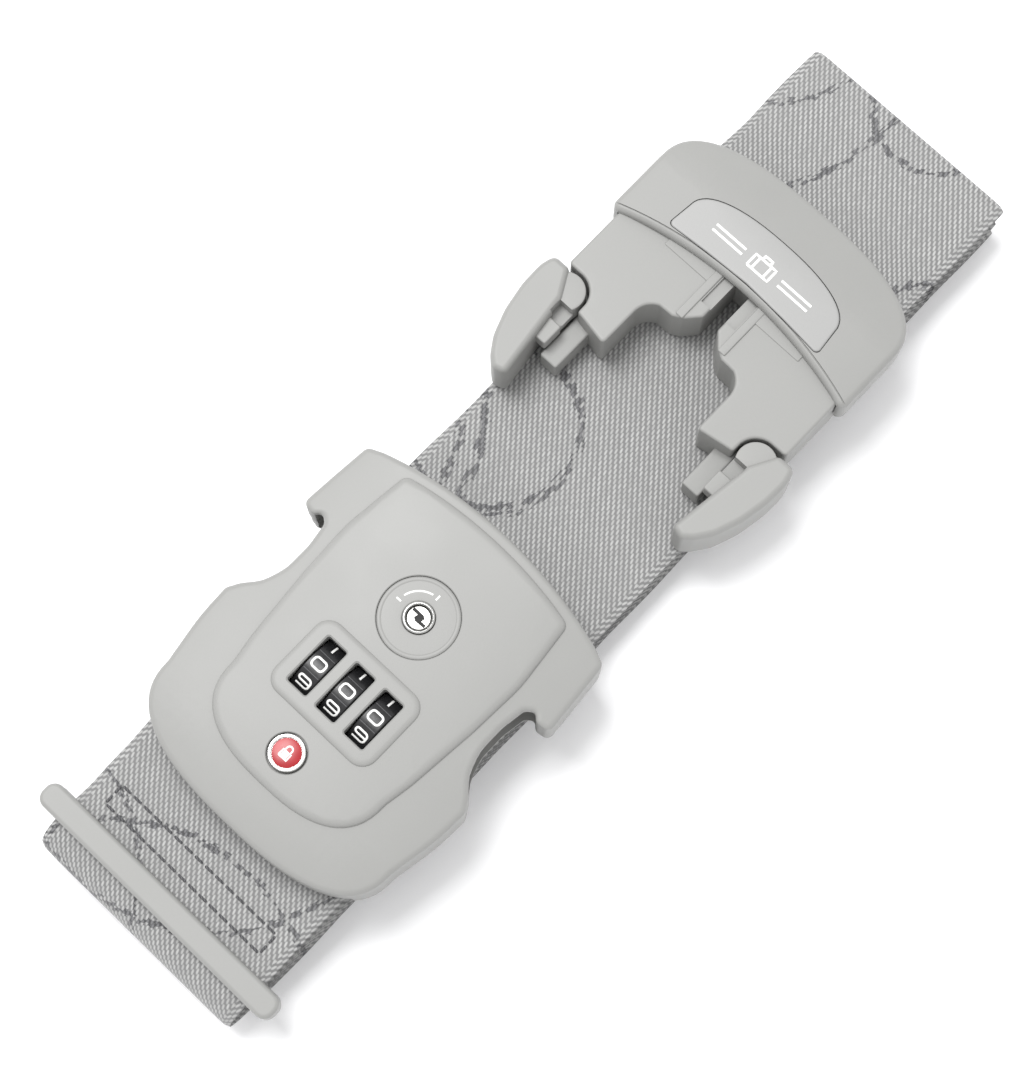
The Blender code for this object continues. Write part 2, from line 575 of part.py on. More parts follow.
def lock_shells(finish):
    plan = lock_plan()
    top = slab("lock_top_shell", plan, SPLIT, LOCK_TOP, finish, edge=1.2 * MM)
    bottom = slab("lock_bottom_shell", plan, DECK, SPLIT - CLEAR, finish)
    weld(top, slab("panel_block", panel_plan(), LOCK_TOP - LOCK_WALL / 2, PANEL_TOP, None,
                   edge=0.6 * MM))
    reach = WINDOW_LENGTH / 2 + 3.0 * MM
    half = DIAL_PITCH + DIAL_WIDTH / 2 + 3.4 * MM
    frame = rounded(DIAL_X - reach, DIAL_X + reach, -half, half, 3.0 * MM)
    weld(top, slab("dial_frame_block", frame, LOCK_TOP, FRAME_TOP, None, edge=0.4 * MM))
    rooms = plug_room() + [mechanism_room(), webbing_room()]
    cut(top, *rooms)
    cut(bottom, *rooms)
    hole = bar_hole("lock_bar_hole", LOCK_BAR_X, LOCK_BAR_Z, LOCK_HALF_WIDTH - BAR_WALL + CLEAR)
    cut(top, hole)
    cut(bottom, hole)
    shaft_hole = rod("shaft_hole", SHAFT_RADIUS + CLEAR, 2 * SHAFT_HALF + 2 * CLEAR,
                     (DIAL_X, SHAFT_HALF + CLEAR, DIAL_Z), None, axis="Y", segments=16)
    cut(top, shaft_hole)
    bm = bmesh.new()
    for slot in (-1, 0, 1):
        middle = slot * DIAL_PITCH
        width = DIAL_WIDTH / 2 + 0.25 * MM
        length = WINDOW_LENGTH / 2
        add_slab(bm, rectangle(DIAL_X - length, DIAL_X + length, middle - width, middle + width),
                 CEILING - 1 * MM, FRAME_TOP + 1 * MM)
    cut(top, keep("window_cutter", bm, None))
    key_room = key_room_cutter()
    badge_room = rod("badge_room", BADGE_RADIUS + CLEAR, 3 * MM, (BADGE_X, 0, PANEL_TOP - BADGE_SUNK),
                     None)
    cut(top, key_room, badge_room)
    cut(bottom, key_room)
    reset_room = rod("reset_room", RESET_RADIUS + CLEAR, 4 * MM, (RESET_X, 0, DECK - 1 * MM), None)
    cut(bottom, reset_room)
    for number, (x, y) in enumerate(lock_screw_places(), 1):
        shank = rod(f"lock_screw_room_{number}", SCREW_RADIUS + CLEAR, 10 * MM,
                    (x, y, DECK - 1 * MM), None, segments=12)
        head = rod(f"lock_head_room_{number}", SCREW_HEAD_RADIUS + CLEAR, 3 * MM,
                   (x, y, DECK - 1.2 * MM), None, segments=16)
        cut(bottom, shank, head)
        cut(top, shank)


def screw(name, place, length, finish):
    profile = [(0, 0), (SCREW_HEAD_RADIUS, 0), (SCREW_HEAD_RADIUS, SCREW_HEAD),
               (SCREW_RADIUS, SCREW_HEAD),
               (SCREW_RADIUS, length), (0, length)]
    turned(name, profile, place, finish, segments=14)


def dials(black, steel, brass):
    width = DIAL_WIDTH
    for number in range(1, DIAL_COUNT + 1):
        y = ((DIAL_COUNT + 1) / 2 - number) * DIAL_PITCH
        axis_place = (DIAL_X, y, DIAL_Z)
        inner, outer = HUB_RADIUS + CLEAR, DIAL_RADIUS
        lip = 0.5 * MM
        profile = [(inner, 0), (outer - lip, 0), (outer, lip), (outer, width - lip),
                   (outer - lip, width), (inner, width)]
        turned(f"dial_{number}", profile, (DIAL_X, y + width / 2, DIAL_Z), black, axis="Y",
               segments=40, origin=axis_place)
        hub = DIAL_PITCH - 2 * CLEAR
        profile = [(SHAFT_RADIUS + CLEAR, 0), (HUB_RADIUS + 0.9 * MM, 0),
                   (HUB_RADIUS + 0.9 * MM, 0.9 * MM), (HUB_RADIUS, 0.9 * MM), (HUB_RADIUS, hub),
                   (SHAFT_RADIUS + CLEAR, hub)]
        turned(f"dial_hub_{number}", profile, (DIAL_X, y + hub / 2, DIAL_Z), brass, axis="Y",
               segments=24, origin=axis_place)
    rod("dial_shaft", SHAFT_RADIUS, 2 * SHAFT_HALF, (DIAL_X, SHAFT_HALF, DIAL_Z), steel, axis="Y")


def detent_spring(finish):
    """A comb of sprung leaves, one behind each dial, standing on the bottom shell."""
    back = DIAL_X - DIAL_RADIUS - CLEAR
    low, root, high = FLOOR + CLEAR, FLOOR + 2.4 * MM, DIAL_Z + 1.5 * MM
    leaf = 1.5 * MM
    half = DIAL_PITCH + leaf + 1 * MM
    outline = [(-half, low), (half, low), (half, root)]
    for slot in (1, 0, -1):
        middle = slot * DIAL_PITCH
        outline += [(middle + leaf, root), (middle + leaf, high), (middle - leaf, high),
                    (middle - leaf, root)]
    outline += [(-half, root)]
    slab("detent_spring", outline, back - 0.4 * MM, back, finish, axis="X")


def locking_plate(finish):
    """A fork that slides back to free the wings: the cam pushes its front band."""
    front = LOCK_FRONT - PLATE_BACK
    back = DIAL_X + DIAL_RADIUS + PLATE_TRAVEL + 0.4 * MM
    half = DIAL_PITCH + 4.4 * MM
    gap = SPRING_RADIUS + SPRING_WIRE / 2 + 2 * CLEAR
    plate = slab("locking_plate", rectangle(back, front, -half, half), PLATE_Z,
                 PLATE_Z + PLATE_THICK, finish, origin=(back, 0, PLATE_Z))
    fork = slab("plate_fork", rectangle(back - 1 * MM, front - PLATE_BAND, -gap, gap),
                PLATE_Z - 1 * MM, PLATE_Z + 2 * PLATE_THICK, None)
    cut(plate, fork)


def key_pieces(disc_finish, steel, black):
    disc_low = PANEL_TOP - KEY_DISC_SUNK + CLEAR
    sleeve("key_disc", KEY_COLLAR_RADIUS + CLEAR, KEY_DISC_RADIUS, 0.6 * MM,
           (KEY_X, 0, disc_low), disc_finish, segments=40)
    top = PANEL_TOP - 0.1 * MM
    sleeve("key_collar", KEY_RADIUS + CLEAR, KEY_COLLAR_RADIUS, 5 * MM,
           (KEY_X, 0, top - 5 * MM), steel)
    plug_top = top - 0.3 * MM
    low = PLATE_Z + PLATE_THICK + CLEAR
    body = rod("key_cylinder", KEY_RADIUS, plug_top - low, (KEY_X, 0, low), steel,
               origin=(KEY_X, 0, low))
    bm = bmesh.new()
    long, arm = 1.5 * MM, 0.35 * MM
    bent = [(-arm, -long), (long * 0.6, -long), (long * 0.6, -long + 2 * arm), (arm, -long + 2 * arm),
            (arm, long), (-long * 0.6, long), (-long * 0.6, long - 2 * arm), (-arm, long - 2 * arm)]
    add_slab(bm, [(KEY_X + x, y) for x, y in bent], plug_top - 3 * MM, plug_top + 1 * MM)
    cut(body, keep("keyway", bm, None))
    half = CAM_WIDTH / 2
    cam = arc(KEY_X, CAM_REACH - half, half, 0, 180, 8) + arc(KEY_X, 0, 1.8 * MM, 140, 400, 14)
    slab("key_cam", cam, PLATE_Z, low - CLEAR, black, origin=(KEY_X, 0, low))


def reset_pieces(plastic, steel):
    flange = FLOOR + CLEAR - RESET_LOW
    top = flange + 0.8 * MM
    profile = [(0, 0), (RESET_RADIUS, 0), (RESET_RADIUS, flange),
               (RESET_RADIUS + RESET_FLANGE, flange), (RESET_RADIUS + RESET_FLANGE, top),
               (SPRING_RADIUS - 0.7 * MM, top), (SPRING_RADIUS - 0.7 * MM, 5 * MM), (0, 5 * MM)]
    turned("reset_button", profile, (RESET_X, 0, RESET_LOW), plastic, segments=20,
           origin=(RESET_X, 0, RESET_LOW))
    start = RESET_LOW + top + CLEAR
    coil("reset_spring", (RESET_X, 0, start), SPRING_RADIUS, SPRING_WIRE,
         CEILING - start - CLEAR, 6, steel)


def badge(finish):
    rod("badge", BADGE_RADIUS, 0.8 * MM, (BADGE_X, 0, PANEL_TOP - BADGE_SUNK + CLEAR), finish)


# --- plug -----------------------------------------------------------------------------------
def cover_screw_places():
    return [(PLUG_FRONT + 5.5 * MM, side * 15 * MM) for side in (1, -1)]


def plug_body(finish):
    """The plug: two legs with guide prongs, a ledge under each wing and an open back."""
    body = slab("plug_body", plug_outline(), DECK, PLUG_TOP, finish, edge=0.4 * MM)
    for side in (1, -1):
        ledge = rod(f"wing_ledge_{side}", WING_HUB_RADIUS + 2 * CLEAR, HUB_FLOOR - DECK,
                    (WING_X, side * WING_PIVOT_Y, DECK), None)
        prong = rectangle(LEG_END - PRONG_LENGTH, LEG_END + 3 * MM,
                          PRONG_OUTER_Y - PRONG_WIDTH, PRONG_OUTER_Y)
        weld(body, ledge, slab(f"prong_{side}", [(x, side * y) for x, y in prong],
                               DECK + 0.4 * MM, DECK + 6.0 * MM, None))
        room = rod(f"hub_room_{side}", WING_HUB_RADIUS + CLEAR, PLUG_HEIGHT,
                   (WING_X, side * WING_PIVOT_Y, HUB_FLOOR), None)
        pin = rod(f"pin_room_{side}", PIN_RADIUS + CLEAR, 4 * MM,
                  (WING_X, side * WING_PIVOT_Y, PIN_LOW - CLEAR), None, segments=16)
        cut(body, room, pin)
    back = PLUG_FRONT + COVER_LENGTH
    cut(body, slab("plug_webbing_room", rectangle(PLUG_FRONT + 10 * MM, back + 2 * MM,
                                                  -SIDE_ROOM, SIDE_ROOM),
                   DECK - 1 * MM, PLUG_TOP + 1 * MM, None))
    cut(body, bar_hole("plug_bar_hole", PLUG_BAR_X, PLUG_BAR_Z, PLUG_HALF_WIDTH - PLUG_BAR_WALL))
    for number, (x, y) in enumerate(cover_screw_places(), 1):
        shank = rod(f"cover_screw_room_{number}", SCREW_RADIUS + CLEAR, PLUG_HEIGHT + 2.4 * MM,
                    (x, y, DECK - 1 * MM), None, segments=12)
        head = rod(f"cover_head_room_{number}", SCREW_HEAD_RADIUS + CLEAR, 3 * MM,
                   (x, y, DECK - 1.2 * MM), None, segments=16)
        cut(body, shank, head)


def plug_cover(finish):
    low, inner = DECK + COVER_LOW, PLUG_TOP + CLEAR
    cover = slab("plug_cover", cover_plan(), low, COVER_TOP, finish, edge=1.4 * MM)
    room = slab("cover_room", cover_plan(COVER_WALL), low - 1 * MM, inner, None)
    side = PLUG_HALF_WIDTH + CLEAR
    front = slab("cover_front_room", rectangle(PLUG_FRONT - 12 * MM, PLUG_FRONT + 8 * MM, -side, side),
                 low - 1 * MM, inner, None)
    rear = slab("cover_rear_room", rectangle(PLUG_FRONT + 12 * MM, PLUG_FRONT + COVER_LENGTH + 2 * MM,
                                             -SIDE_ROOM, SIDE_ROOM),
                low - 1 * MM, low + 3 * MM, None)
    plate = slab("nameplate_room", nameplate_plan(CLEAR), COVER_TOP - PLATE_SUNK,
                 COVER_TOP + 1 * MM, None)
    cut(cover, room, front, rear, plate)
    for number, (x, y) in enumerate(cover_screw_places(), 1):
        cut(cover, rod(f"cover_boss_room_{number}", SCREW_RADIUS + CLEAR, 2.0 * MM,
                       (x, y, PLUG_TOP - 0.8 * MM), None, segments=12))


def wing_plan():
    """The thumb paddle from above, on the left: a straight inner side and a crescent outside."""
    tip = WING_X - WING_LENGTH
    inner = WING_PIVOT_Y - 1.6 * MM
    outer = inner + 8.7 * MM
    outline = [(tip + 1.2 * MM, inner - 0.6 * MM), (tip + 6.4 * MM, inner), (WING_X, inner)]
    outline += [(WING_X + 3.6 * MM, inner + 3.6 * MM), (WING_X + 3.6 * MM, outer - 1.5 * MM)]
    outline += [(WING_X + 2.0 * MM, outer - 0.5 * MM), (WING_X - 5.4 * MM, outer)]
    outline += [(tip + 10.3 * MM, outer - 1.1 * MM), (tip + 5.4 * MM, outer - 3.3 * MM)]
    outline += [(tip + 1.6 * MM, outer - 5.4 * MM), (tip + 0.1 * MM, outer - 7.5 * MM)]
    return outline


def wing(side, name, finish):
    """A side-release wing: hub, thumb paddle and catch finger."""
    pivot = (WING_X, side * WING_PIVOT_Y, HUB_FLOOR)
    seat = HUB_FLOOR + CLEAR
    outline = [(x, side * y) for x, y in wing_plan()]
    body = slab(name, outline, DECK + 0.6 * MM, PLUG_TOP - 0.2 * MM, finish, edge=0.6 * MM,
                origin=pivot)
    weld(body, rod(f"{name}_hub", WING_HUB_RADIUS, PLUG_TOP - HUB_SUNK - seat,
                   (WING_X, pivot[1], seat), None))
    finger = rectangle(LEG_END - 7.4 * MM, LEG_END - 1.0 * MM, FINGER_Y, WING_PIVOT_Y - 0.1 * MM)
    weld(body, slab(f"{name}_finger", [(x, side * y) for x, y in finger], DECK + 6.5 * MM,
                    DECK + 9.5 * MM, None))
    cut(body, rod(f"{name}_relief", WING_HUB_RADIUS + 3 * CLEAR, 4.4 * MM,
                  (WING_X, pivot[1], seat - 4.4 * MM), None))
    cut(body, rod(f"{name}_bore", PIN_RADIUS + CLEAR, PIN_LENGTH, (WING_X, pivot[1], PIN_LOW + CLEAR),
                  None, segments=16))
    room = WING_SPRING_RADIUS + WING_SPRING_WIRE + 0.4 * MM
    cut(body, rod(f"{name}_spring_room", room, WING_SPRING_HEIGHT + 1 * MM,
                  (WING_X, pivot[1], HUB_FLOOR - CLEAR), None))


def wing_pin_and_spring(side, tag, steel):
    rod(f"wing_pin_{tag}", PIN_RADIUS, PIN_LENGTH, (WING_X, side * WING_PIVOT_Y, PIN_LOW), steel,
        segments=16)
    coil(f"wing_spring_{tag}", (WING_X, side * WING_PIVOT_Y, HUB_FLOOR + CLEAR),
         WING_SPRING_RADIUS, WING_SPRING_WIRE, WING_SPRING_HEIGHT, 3.5, steel)


def nameplate(finish):
    slab("nameplate", nameplate_plan(), COVER_TOP - PLATE_SUNK + CLEAR, COVER_TOP + 0.4 * MM, finish,
         edge=0.3 * MM)


def build():
    clear_scene()
    grey = material("grey_shell", (0.57, 0.57, 0.56), 0.42)
    pale = material("pale_plate", (0.60, 0.60, 0.59), 0.35)
    web = material("grey_webbing", (0.40, 0.40, 0.40), 0.85)
    black = material("black_dial", (0.02, 0.02, 0.02), 0.35)
    steel = material("bright_steel", (0.75, 0.75, 0.76), 0.25, 1.0)
    brass = material("brass", (0.70, 0.55, 0.30), 0.35, 1.0)
    red = material("red_enamel", (0.60, 0.03, 0.04), 0.25)

    webbing_pack(web)
    webbing_lock_end(web)
    webbing_plug_end(web)
    keeper(grey)

    lock_shells(grey)
    dials(black, steel, brass)
    detent_spring(steel)
    locking_plate(steel)
    key_pieces(pale, steel, black)
    reset_pieces(grey, steel)
    badge(red)
    bar_half = LOCK_HALF_WIDTH - BAR_WALL
    rod("lock_webbing_bar", BAR_RADIUS, 2 * bar_half, (LOCK_BAR_X, bar_half, LOCK_BAR_Z), steel,
        axis="Y")
    for number, (x, y) in enumerate(lock_screw_places(), 1):
        screw(f"lock_screw_{number}", (x, y, DECK + SCREW_SUNK), 8.4 * MM, steel)

    plug_body(grey)
    plug_cover(grey)
    nameplate(pale)
    for side, tag in ((1, "left"), (-1, "right")):
        wing(side, f"wing_{tag}", grey)
        wing_pin_and_spring(side, tag, steel)
    bar_half = PLUG_HALF_WIDTH - PLUG_BAR_WALL - CLEAR
    rod("plug_webbing_bar", BAR_RADIUS, 2 * bar_half, (PLUG_BAR_X, bar_half, PLUG_BAR_Z), steel,
        axis="Y")
    for number, (x, y) in enumerate(cover_screw_places(), 1):
        screw(f"cover_screw_{number}", (x, y, DECK + SCREW_SUNK), PLUG_HEIGHT + 0.9 * MM, steel)


build()
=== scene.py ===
"""A luggage strap: folded webbing, a three-dial lock and the side-release plug that fits it.

Metres, +X from the lock to the plug, +Y to the left, +Z up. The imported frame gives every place
and size. This script makes the fine surfaces, the webbing, the stitching and the finishes.
"""

import math

import bmesh
import bpy
from mathutils import Matrix, Vector


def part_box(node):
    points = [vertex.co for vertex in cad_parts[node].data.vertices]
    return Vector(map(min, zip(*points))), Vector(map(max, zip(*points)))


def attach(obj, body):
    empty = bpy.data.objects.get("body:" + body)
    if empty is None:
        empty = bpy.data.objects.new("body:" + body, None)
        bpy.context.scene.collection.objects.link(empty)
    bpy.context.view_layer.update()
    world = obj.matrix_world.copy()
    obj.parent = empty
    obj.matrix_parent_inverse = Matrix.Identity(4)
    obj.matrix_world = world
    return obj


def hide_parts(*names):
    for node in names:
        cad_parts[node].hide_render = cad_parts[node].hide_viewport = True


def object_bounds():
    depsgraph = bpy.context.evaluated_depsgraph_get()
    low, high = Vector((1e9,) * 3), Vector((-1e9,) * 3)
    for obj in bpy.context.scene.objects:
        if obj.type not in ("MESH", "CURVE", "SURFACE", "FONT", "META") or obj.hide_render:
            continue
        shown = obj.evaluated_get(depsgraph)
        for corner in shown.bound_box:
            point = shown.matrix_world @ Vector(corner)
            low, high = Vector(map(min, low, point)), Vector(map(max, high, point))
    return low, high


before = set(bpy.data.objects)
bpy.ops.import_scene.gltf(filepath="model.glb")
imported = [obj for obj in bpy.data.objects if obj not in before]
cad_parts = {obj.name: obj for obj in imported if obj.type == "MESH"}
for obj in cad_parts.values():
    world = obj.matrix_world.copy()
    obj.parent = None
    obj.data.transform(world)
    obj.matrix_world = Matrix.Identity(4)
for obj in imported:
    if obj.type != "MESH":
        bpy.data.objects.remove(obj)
cad_low, cad_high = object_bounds()

MM = 0.001


def low(node):
    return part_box(node)[0]


def high(node):
    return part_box(node)[1]


def middle(node):
    return (low(node) + high(node)) / 2


# --- sizes, all from the frame or named here --------------------------------------------------
CLEAR = 0.3 * MM
WALL = 1.5 * MM
FRONT_BOW = 5.3 * MM

DECK = low("lock_bottom_shell").z
SPLIT = low("lock_top_shell").z
FRAME_TOP = high("lock_top_shell").z
FRAME_RISE = 0.6 * MM        # the dials' surround over the panel
PANEL_TOP = FRAME_TOP - FRAME_RISE
LOCK_TOP = PANEL_TOP - 1.0 * MM
CEILING = LOCK_TOP - WALL
FLOOR = DECK + WALL
LOCK_FRONT = high("lock_top_shell").x
LOCK_REAR = low("lock_top_shell").x
LOCK_SIDE = high("lock_top_shell").y
LOCK_LENGTH = LOCK_FRONT - LOCK_REAR

DIAL = middle("dial_2")
DIAL_RADIUS = high("dial_2").z - DIAL.z
DIAL_WIDTH = high("dial_2").y - low("dial_2").y
DIAL_PITCH = middle("dial_1").y - DIAL.y
KEY = middle("key_cylinder")
KEY_DISC_RADIUS = high("key_disc").x - KEY.x
COLLAR_RADIUS = high("key_collar").x - KEY.x
BADGE = middle("badge")
BADGE_RADIUS = high("badge").x - BADGE.x

COVER_LENGTH = 23 * MM
COVER_SIDE = high("plug_cover").y
COVER_TOP = high("plug_cover").z
COVER_LOW = low("plug_cover").z
PLUG_FRONT = high("plug_cover").x - COVER_LENGTH
PLUG_TOP = high("plug_body").z
COVER_WALL = 1.6 * MM
PLUG_SIDE = COVER_SIDE - COVER_WALL - CLEAR
LEG_END = PLUG_FRONT - 25.9 * MM
HUB = middle("wing_pin_left")
HUB_RADIUS = 4.1 * MM
HUB_FLOOR = DECK + 3.7 * MM

BAR_BORE = 1.8 * MM
SHANK_BORE = 1.3 * MM
HEAD_ROOM = 2.2 * MM
HEAD_DEPTH = 1.8 * MM

WEB_HALF = high("webbing_pack").y
WEB_THICK = 1.0 * MM
WEB_ROOM = WEB_HALF + 1.0 * MM
LAYERS = 9
LAYER_PITCH = (high("webbing_pack").z - WEB_THICK) / (LAYERS - 1)
LOCK_BAR = middle("lock_webbing_bar")
PLUG_BAR = middle("plug_webbing_bar")
BAR_TURN = high("lock_webbing_bar").z - LOCK_BAR.z + CLEAR + WEB_THICK / 2
KEEPER = middle("keeper")
SLOT_LOW = DECK + 1.6 * MM
KEEPER_WEB_Z = SLOT_LOW + CLEAR + WEB_THICK / 2
HEM_START = LOCK_REAR - 2.8 * MM
HEM_END = high("keeper").x + 1.8 * MM
HEM_RISE = 1.7 * MM


# pattern sizes of the finishes
FLOW_MARK = 26 * MM
SPARK_GRAIN = 0.42 * MM
THREAD_COLUMN = 0.66 * MM    # spacing of the warp floats across the strap
THREAD_PERIOD = 1.56 * MM    # their spacing along it
FLOAT_LENGTH = 1.34 * MM
FLOAT_WIDTH = 0.52 * MM
FLOAT_SLANT = math.radians(17)
SELVEDGE = 1.5 * MM          # the outermost threads lean the other way
MOTIF_SHAKE = 1.3 * MM
CLOUD = 9 * MM               # slow changes of tone in the dyed webbing
THREAD_PLY = 1.6 * MM

MATH, MIX = "ShaderNodeMath", "ShaderNodeMix"
SHADER, OUTPUT = "ShaderNodeBsdfPrincipled", "ShaderNodeOutputMaterial"


# --- node and mesh tools ----------------------------------------------------------------------
def srgb(code):
    """A colour given as hex digits, in linear values with its alpha."""
    values = [int(code[i:i + 2], 16) / 255 for i in (0, 2, 4)]
    return tuple(v / 12.92 if v <= 0.04045 else ((v + 0.055) / 1.055) ** 2.4 for v in values) + (1,)


def add(tree, kind, inputs=None, out=0, **settings):
    """Adds a node with its settings, and gives one output; inputs are values or sockets."""
    node = tree.nodes.new(kind)
    for name, value in settings.items():
        setattr(node, name, value)
    for key, value in (inputs or {}).items():
        if isinstance(value, bpy.types.NodeSocket):
            tree.links.new(value, node.inputs[key])
        else:
            node.inputs[key].default_value = value
    return node.outputs[out] if node.outputs else node


def new_material(name):
    material = bpy.data.materials.new(name)
    material.use_nodes = True
    material.node_tree.nodes.clear()
    return material, material.node_tree


def made(name, bm, turn_out=True):
    """The bmesh as an object in the scene, with its faces pointing out."""
    if turn_out:
        bmesh.ops.recalc_face_normals(bm, faces=bm.faces)
    mesh = bpy.data.meshes.new(name)
    bm.to_mesh(mesh)
    bm.free()
    piece = bpy.data.objects.new(name, mesh)
    bpy.context.scene.collection.objects.link(piece)
    return piece


def arc(cx, cy, radius, start, end, steps):
    angles = [math.radians(start + (end - start) * i / steps) for i in range(steps + 1)]
    return [(cx + radius * math.cos(a), cy + radius * math.sin(a)) for a in angles]


def softened(points):
    """A closed outline whose corners (x, y, radius) become arcs; a radius of 0 keeps the point."""
    outline = []
    for i, (x, y, radius) in enumerate(points):
        here = Vector((x, y))
        before = Vector(points[i - 1][:2]) - here
        after = Vector(points[(i + 1) % len(points)][:2]) - here
        corner = before.angle(after)
        if radius == 0 or corner > math.radians(176):
            outline.append((x, y))
            continue
        reach = min(radius / math.tan(corner / 2), before.length * 0.48, after.length * 0.48)
        radius = reach * math.tan(corner / 2)
        centre = here + (before.normalized() + after.normalized()).normalized() * (
            radius / math.sin(corner / 2))
        first = here + before.normalized() * reach - centre
        last = here + after.normalized() * reach - centre
        start, sweep = math.atan2(first.y, first.x), math.atan2(last.y, last.x)
        sweep = (sweep - start + math.pi) % (2 * math.pi) - math.pi
        steps = max(2, math.ceil(abs(sweep) / math.radians(14)))
        for k in range(steps + 1):
            a = start + sweep * k / steps
            outline.append((centre.x + radius * math.cos(a), centre.y + radius * math.sin(a)))
    return outline


def box_outline(x0, x1, y0, y1, radius=0.0):
    return softened([(x0, y0, radius), (x1, y0, radius), (x1, y1, radius), (x0, y1, radius)])


def mirrored(half):
    """Half an outline from y 0 round to y 0, with its other half added."""
    return half + [(p[0], -p[1]) + tuple(p[2:]) for p in reversed(half) if p[1] > 1e-7]


def rounded_block(name, outline, bottom, top, over=(0, 0), under=(0, 0), steps=5):
    """An upright block; over and under are the (run, rise) of its rounded upper and lower edges."""
    bm = bmesh.new()
    base = bm.faces.new([bm.verts.new((x, y, bottom + under[1])) for x, y in outline])
    grown = bmesh.ops.extrude_face_region(bm, geom=[base])["geom"]
    lifted = [v for v in grown if isinstance(v, bmesh.types.BMVert)]
    bmesh.ops.translate(bm, verts=lifted, vec=(0, 0, top - over[1] - bottom - under[1]))
    lid = [f for f in grown if isinstance(f, bmesh.types.BMFace)][0]
    bmesh.ops.recalc_face_normals(bm, faces=bm.faces)
    for cap, (run, rise) in ((lid, over), (base, under)):
        if run == 0:
            continue
        turns = [math.pi / 2 * k / steps for k in range(steps + 1)]
        for a, b in zip(turns, turns[1:]):
            bmesh.ops.inset_region(bm, faces=[cap], use_even_offset=True,
                                   thickness=run * (math.cos(a) - math.cos(b)),
                                   depth=rise * (math.sin(b) - math.sin(a)))
    return made(name, bm)


def turned(name, profile, centre, axis="Z", steps=64):
    """A solid turned from (radius, height) points, standing at centre along axis."""
    bm = bmesh.new()
    points = [bm.verts.new((r, 0, h)) for r, h in profile]
    edges = [bm.edges.new(pair) for pair in zip(points, points[1:])]
    if profile[0][0] > 0 and profile[-1][0] > 0:
        edges.append(bm.edges.new((points[-1], points[0])))
    bmesh.ops.spin(bm, geom=points + edges, cent=(0, 0, 0), axis=(0, 0, 1), angle=2 * math.pi,
                   steps=steps, use_merge=True)
    bmesh.ops.remove_doubles(bm, verts=bm.verts, dist=1e-7)
    if axis == "Y":
        bmesh.ops.rotate(bm, verts=bm.verts, cent=(0, 0, 0),
                         matrix=Matrix.Rotation(math.pi / 2, 3, "X"))
    bmesh.ops.translate(bm, verts=bm.verts, vec=centre)
    return made(name, bm)


def rod(name, radius, length, centre, axis="Z", steps=48):
    return turned(name, [(0, 0), (radius, 0), (radius, length), (0, length)], centre, axis, steps)


def combine(piece, operation, tools):
    for tool in tools:
        step = piece.modifiers.new("shape", "BOOLEAN")
        step.operation = operation
        step.solver = "EXACT"
        step.object = tool
    bpy.context.view_layer.update()
    shaped = piece.evaluated_get(bpy.context.evaluated_depsgraph_get())
    mesh = bpy.data.meshes.new_from_object(shaped)
    piece.modifiers.clear()
    piece.data = mesh
    for tool in tools:
        bpy.data.objects.remove(tool)


def cut(piece, *tools):
    combine(piece, "DIFFERENCE", tools)


def join(piece, *tools):
    combine(piece, "UNION", tools)


def crown(piece, step, start, end, drop):
    """Lowers the piece by drop(x, y) at height end, fading to nothing at height start."""
    bm = bmesh.new()
    bm.from_mesh(piece.data)
    bmesh.ops.triangulate(bm, faces=[f for f in bm.faces if len(f.verts) > 4])
    for axis in (0, 1):
        first = min(v.co[axis] for v in bm.verts)
        last = max(v.co[axis] for v in bm.verts)
        for i in range(1, int((last - first) / step) + 1):
            place, normal = Vector(), Vector()
            place[axis], normal[axis] = first + i * step, 1
            bmesh.ops.bisect_plane(bm, geom=bm.verts[:] + bm.edges[:] + bm.faces[:], dist=1e-6,
                                   plane_co=place, plane_no=normal)
    for vert in bm.verts:
        share = min(max((vert.co.z - start) / (end - start), 0), 1)
        vert.co.z -= share * drop(vert.co.x, vert.co.y)
    bm.to_mesh(piece.data)
    bm.free()


def place_piece(piece, body, material, replaced=(), crease=38):
    """Smooth shading, a finish, and the body that the piece rides on."""
    piece.data.materials.clear()
    piece.data.materials.append(material)
    piece.data.shade_smooth()
    piece.data.set_sharp_from_angle(angle=math.radians(crease))
    even = piece.modifiers.new("even_shading", "WEIGHTED_NORMAL")
    even.keep_sharp = True
    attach(piece, body)
    if replaced:
        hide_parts(*replaced)
    return piece


# --- finishes ---------------------------------------------------------------------------------
def moulded_abs(name, light, dark, roughness):
    """Satin ABS from a spark-eroded mould: a fine even grain, faint flow marks, soft highlights."""
    material, tree = new_material(name)
    place = add(tree, "ShaderNodeTexCoord", out="Object")
    flow = add(tree, "ShaderNodeTexNoise", {"Vector": place, "Scale": 1 / FLOW_MARK, "Detail": 3.0})
    grain = add(tree, "ShaderNodeTexNoise", {"Vector": place, "Scale": 1 / SPARK_GRAIN,
                                             "Detail": 3.0, "Roughness": 0.6})
    speck = add(tree, "ShaderNodeMapRange", {0: grain, 1: 0.3, 2: 0.7, 3: 0.04, 4: 0.16})
    tone = add(tree, MATH, {0: flow, 1: 0.8, 2: speck}, operation="MULTIPLY_ADD")
    colour = add(tree, MIX, {0: tone, 6: srgb(dark), 7: srgb(light)}, 2, data_type="RGBA")
    worn = add(tree, "ShaderNodeMapRange", {0: flow, 1: 0.3, 2: 0.7,
                                            3: roughness - 0.05, 4: roughness + 0.06})
    bump = add(tree, "ShaderNodeBump", {"Height": grain, "Strength": 0.22, "Distance": 0.05 * MM})
    shader = add(tree, SHADER, {"Base Color": colour, "Roughness": worn, "IOR": 1.53,
                                "Normal": bump})
    add(tree, OUTPUT, {"Surface": shader})
    return material


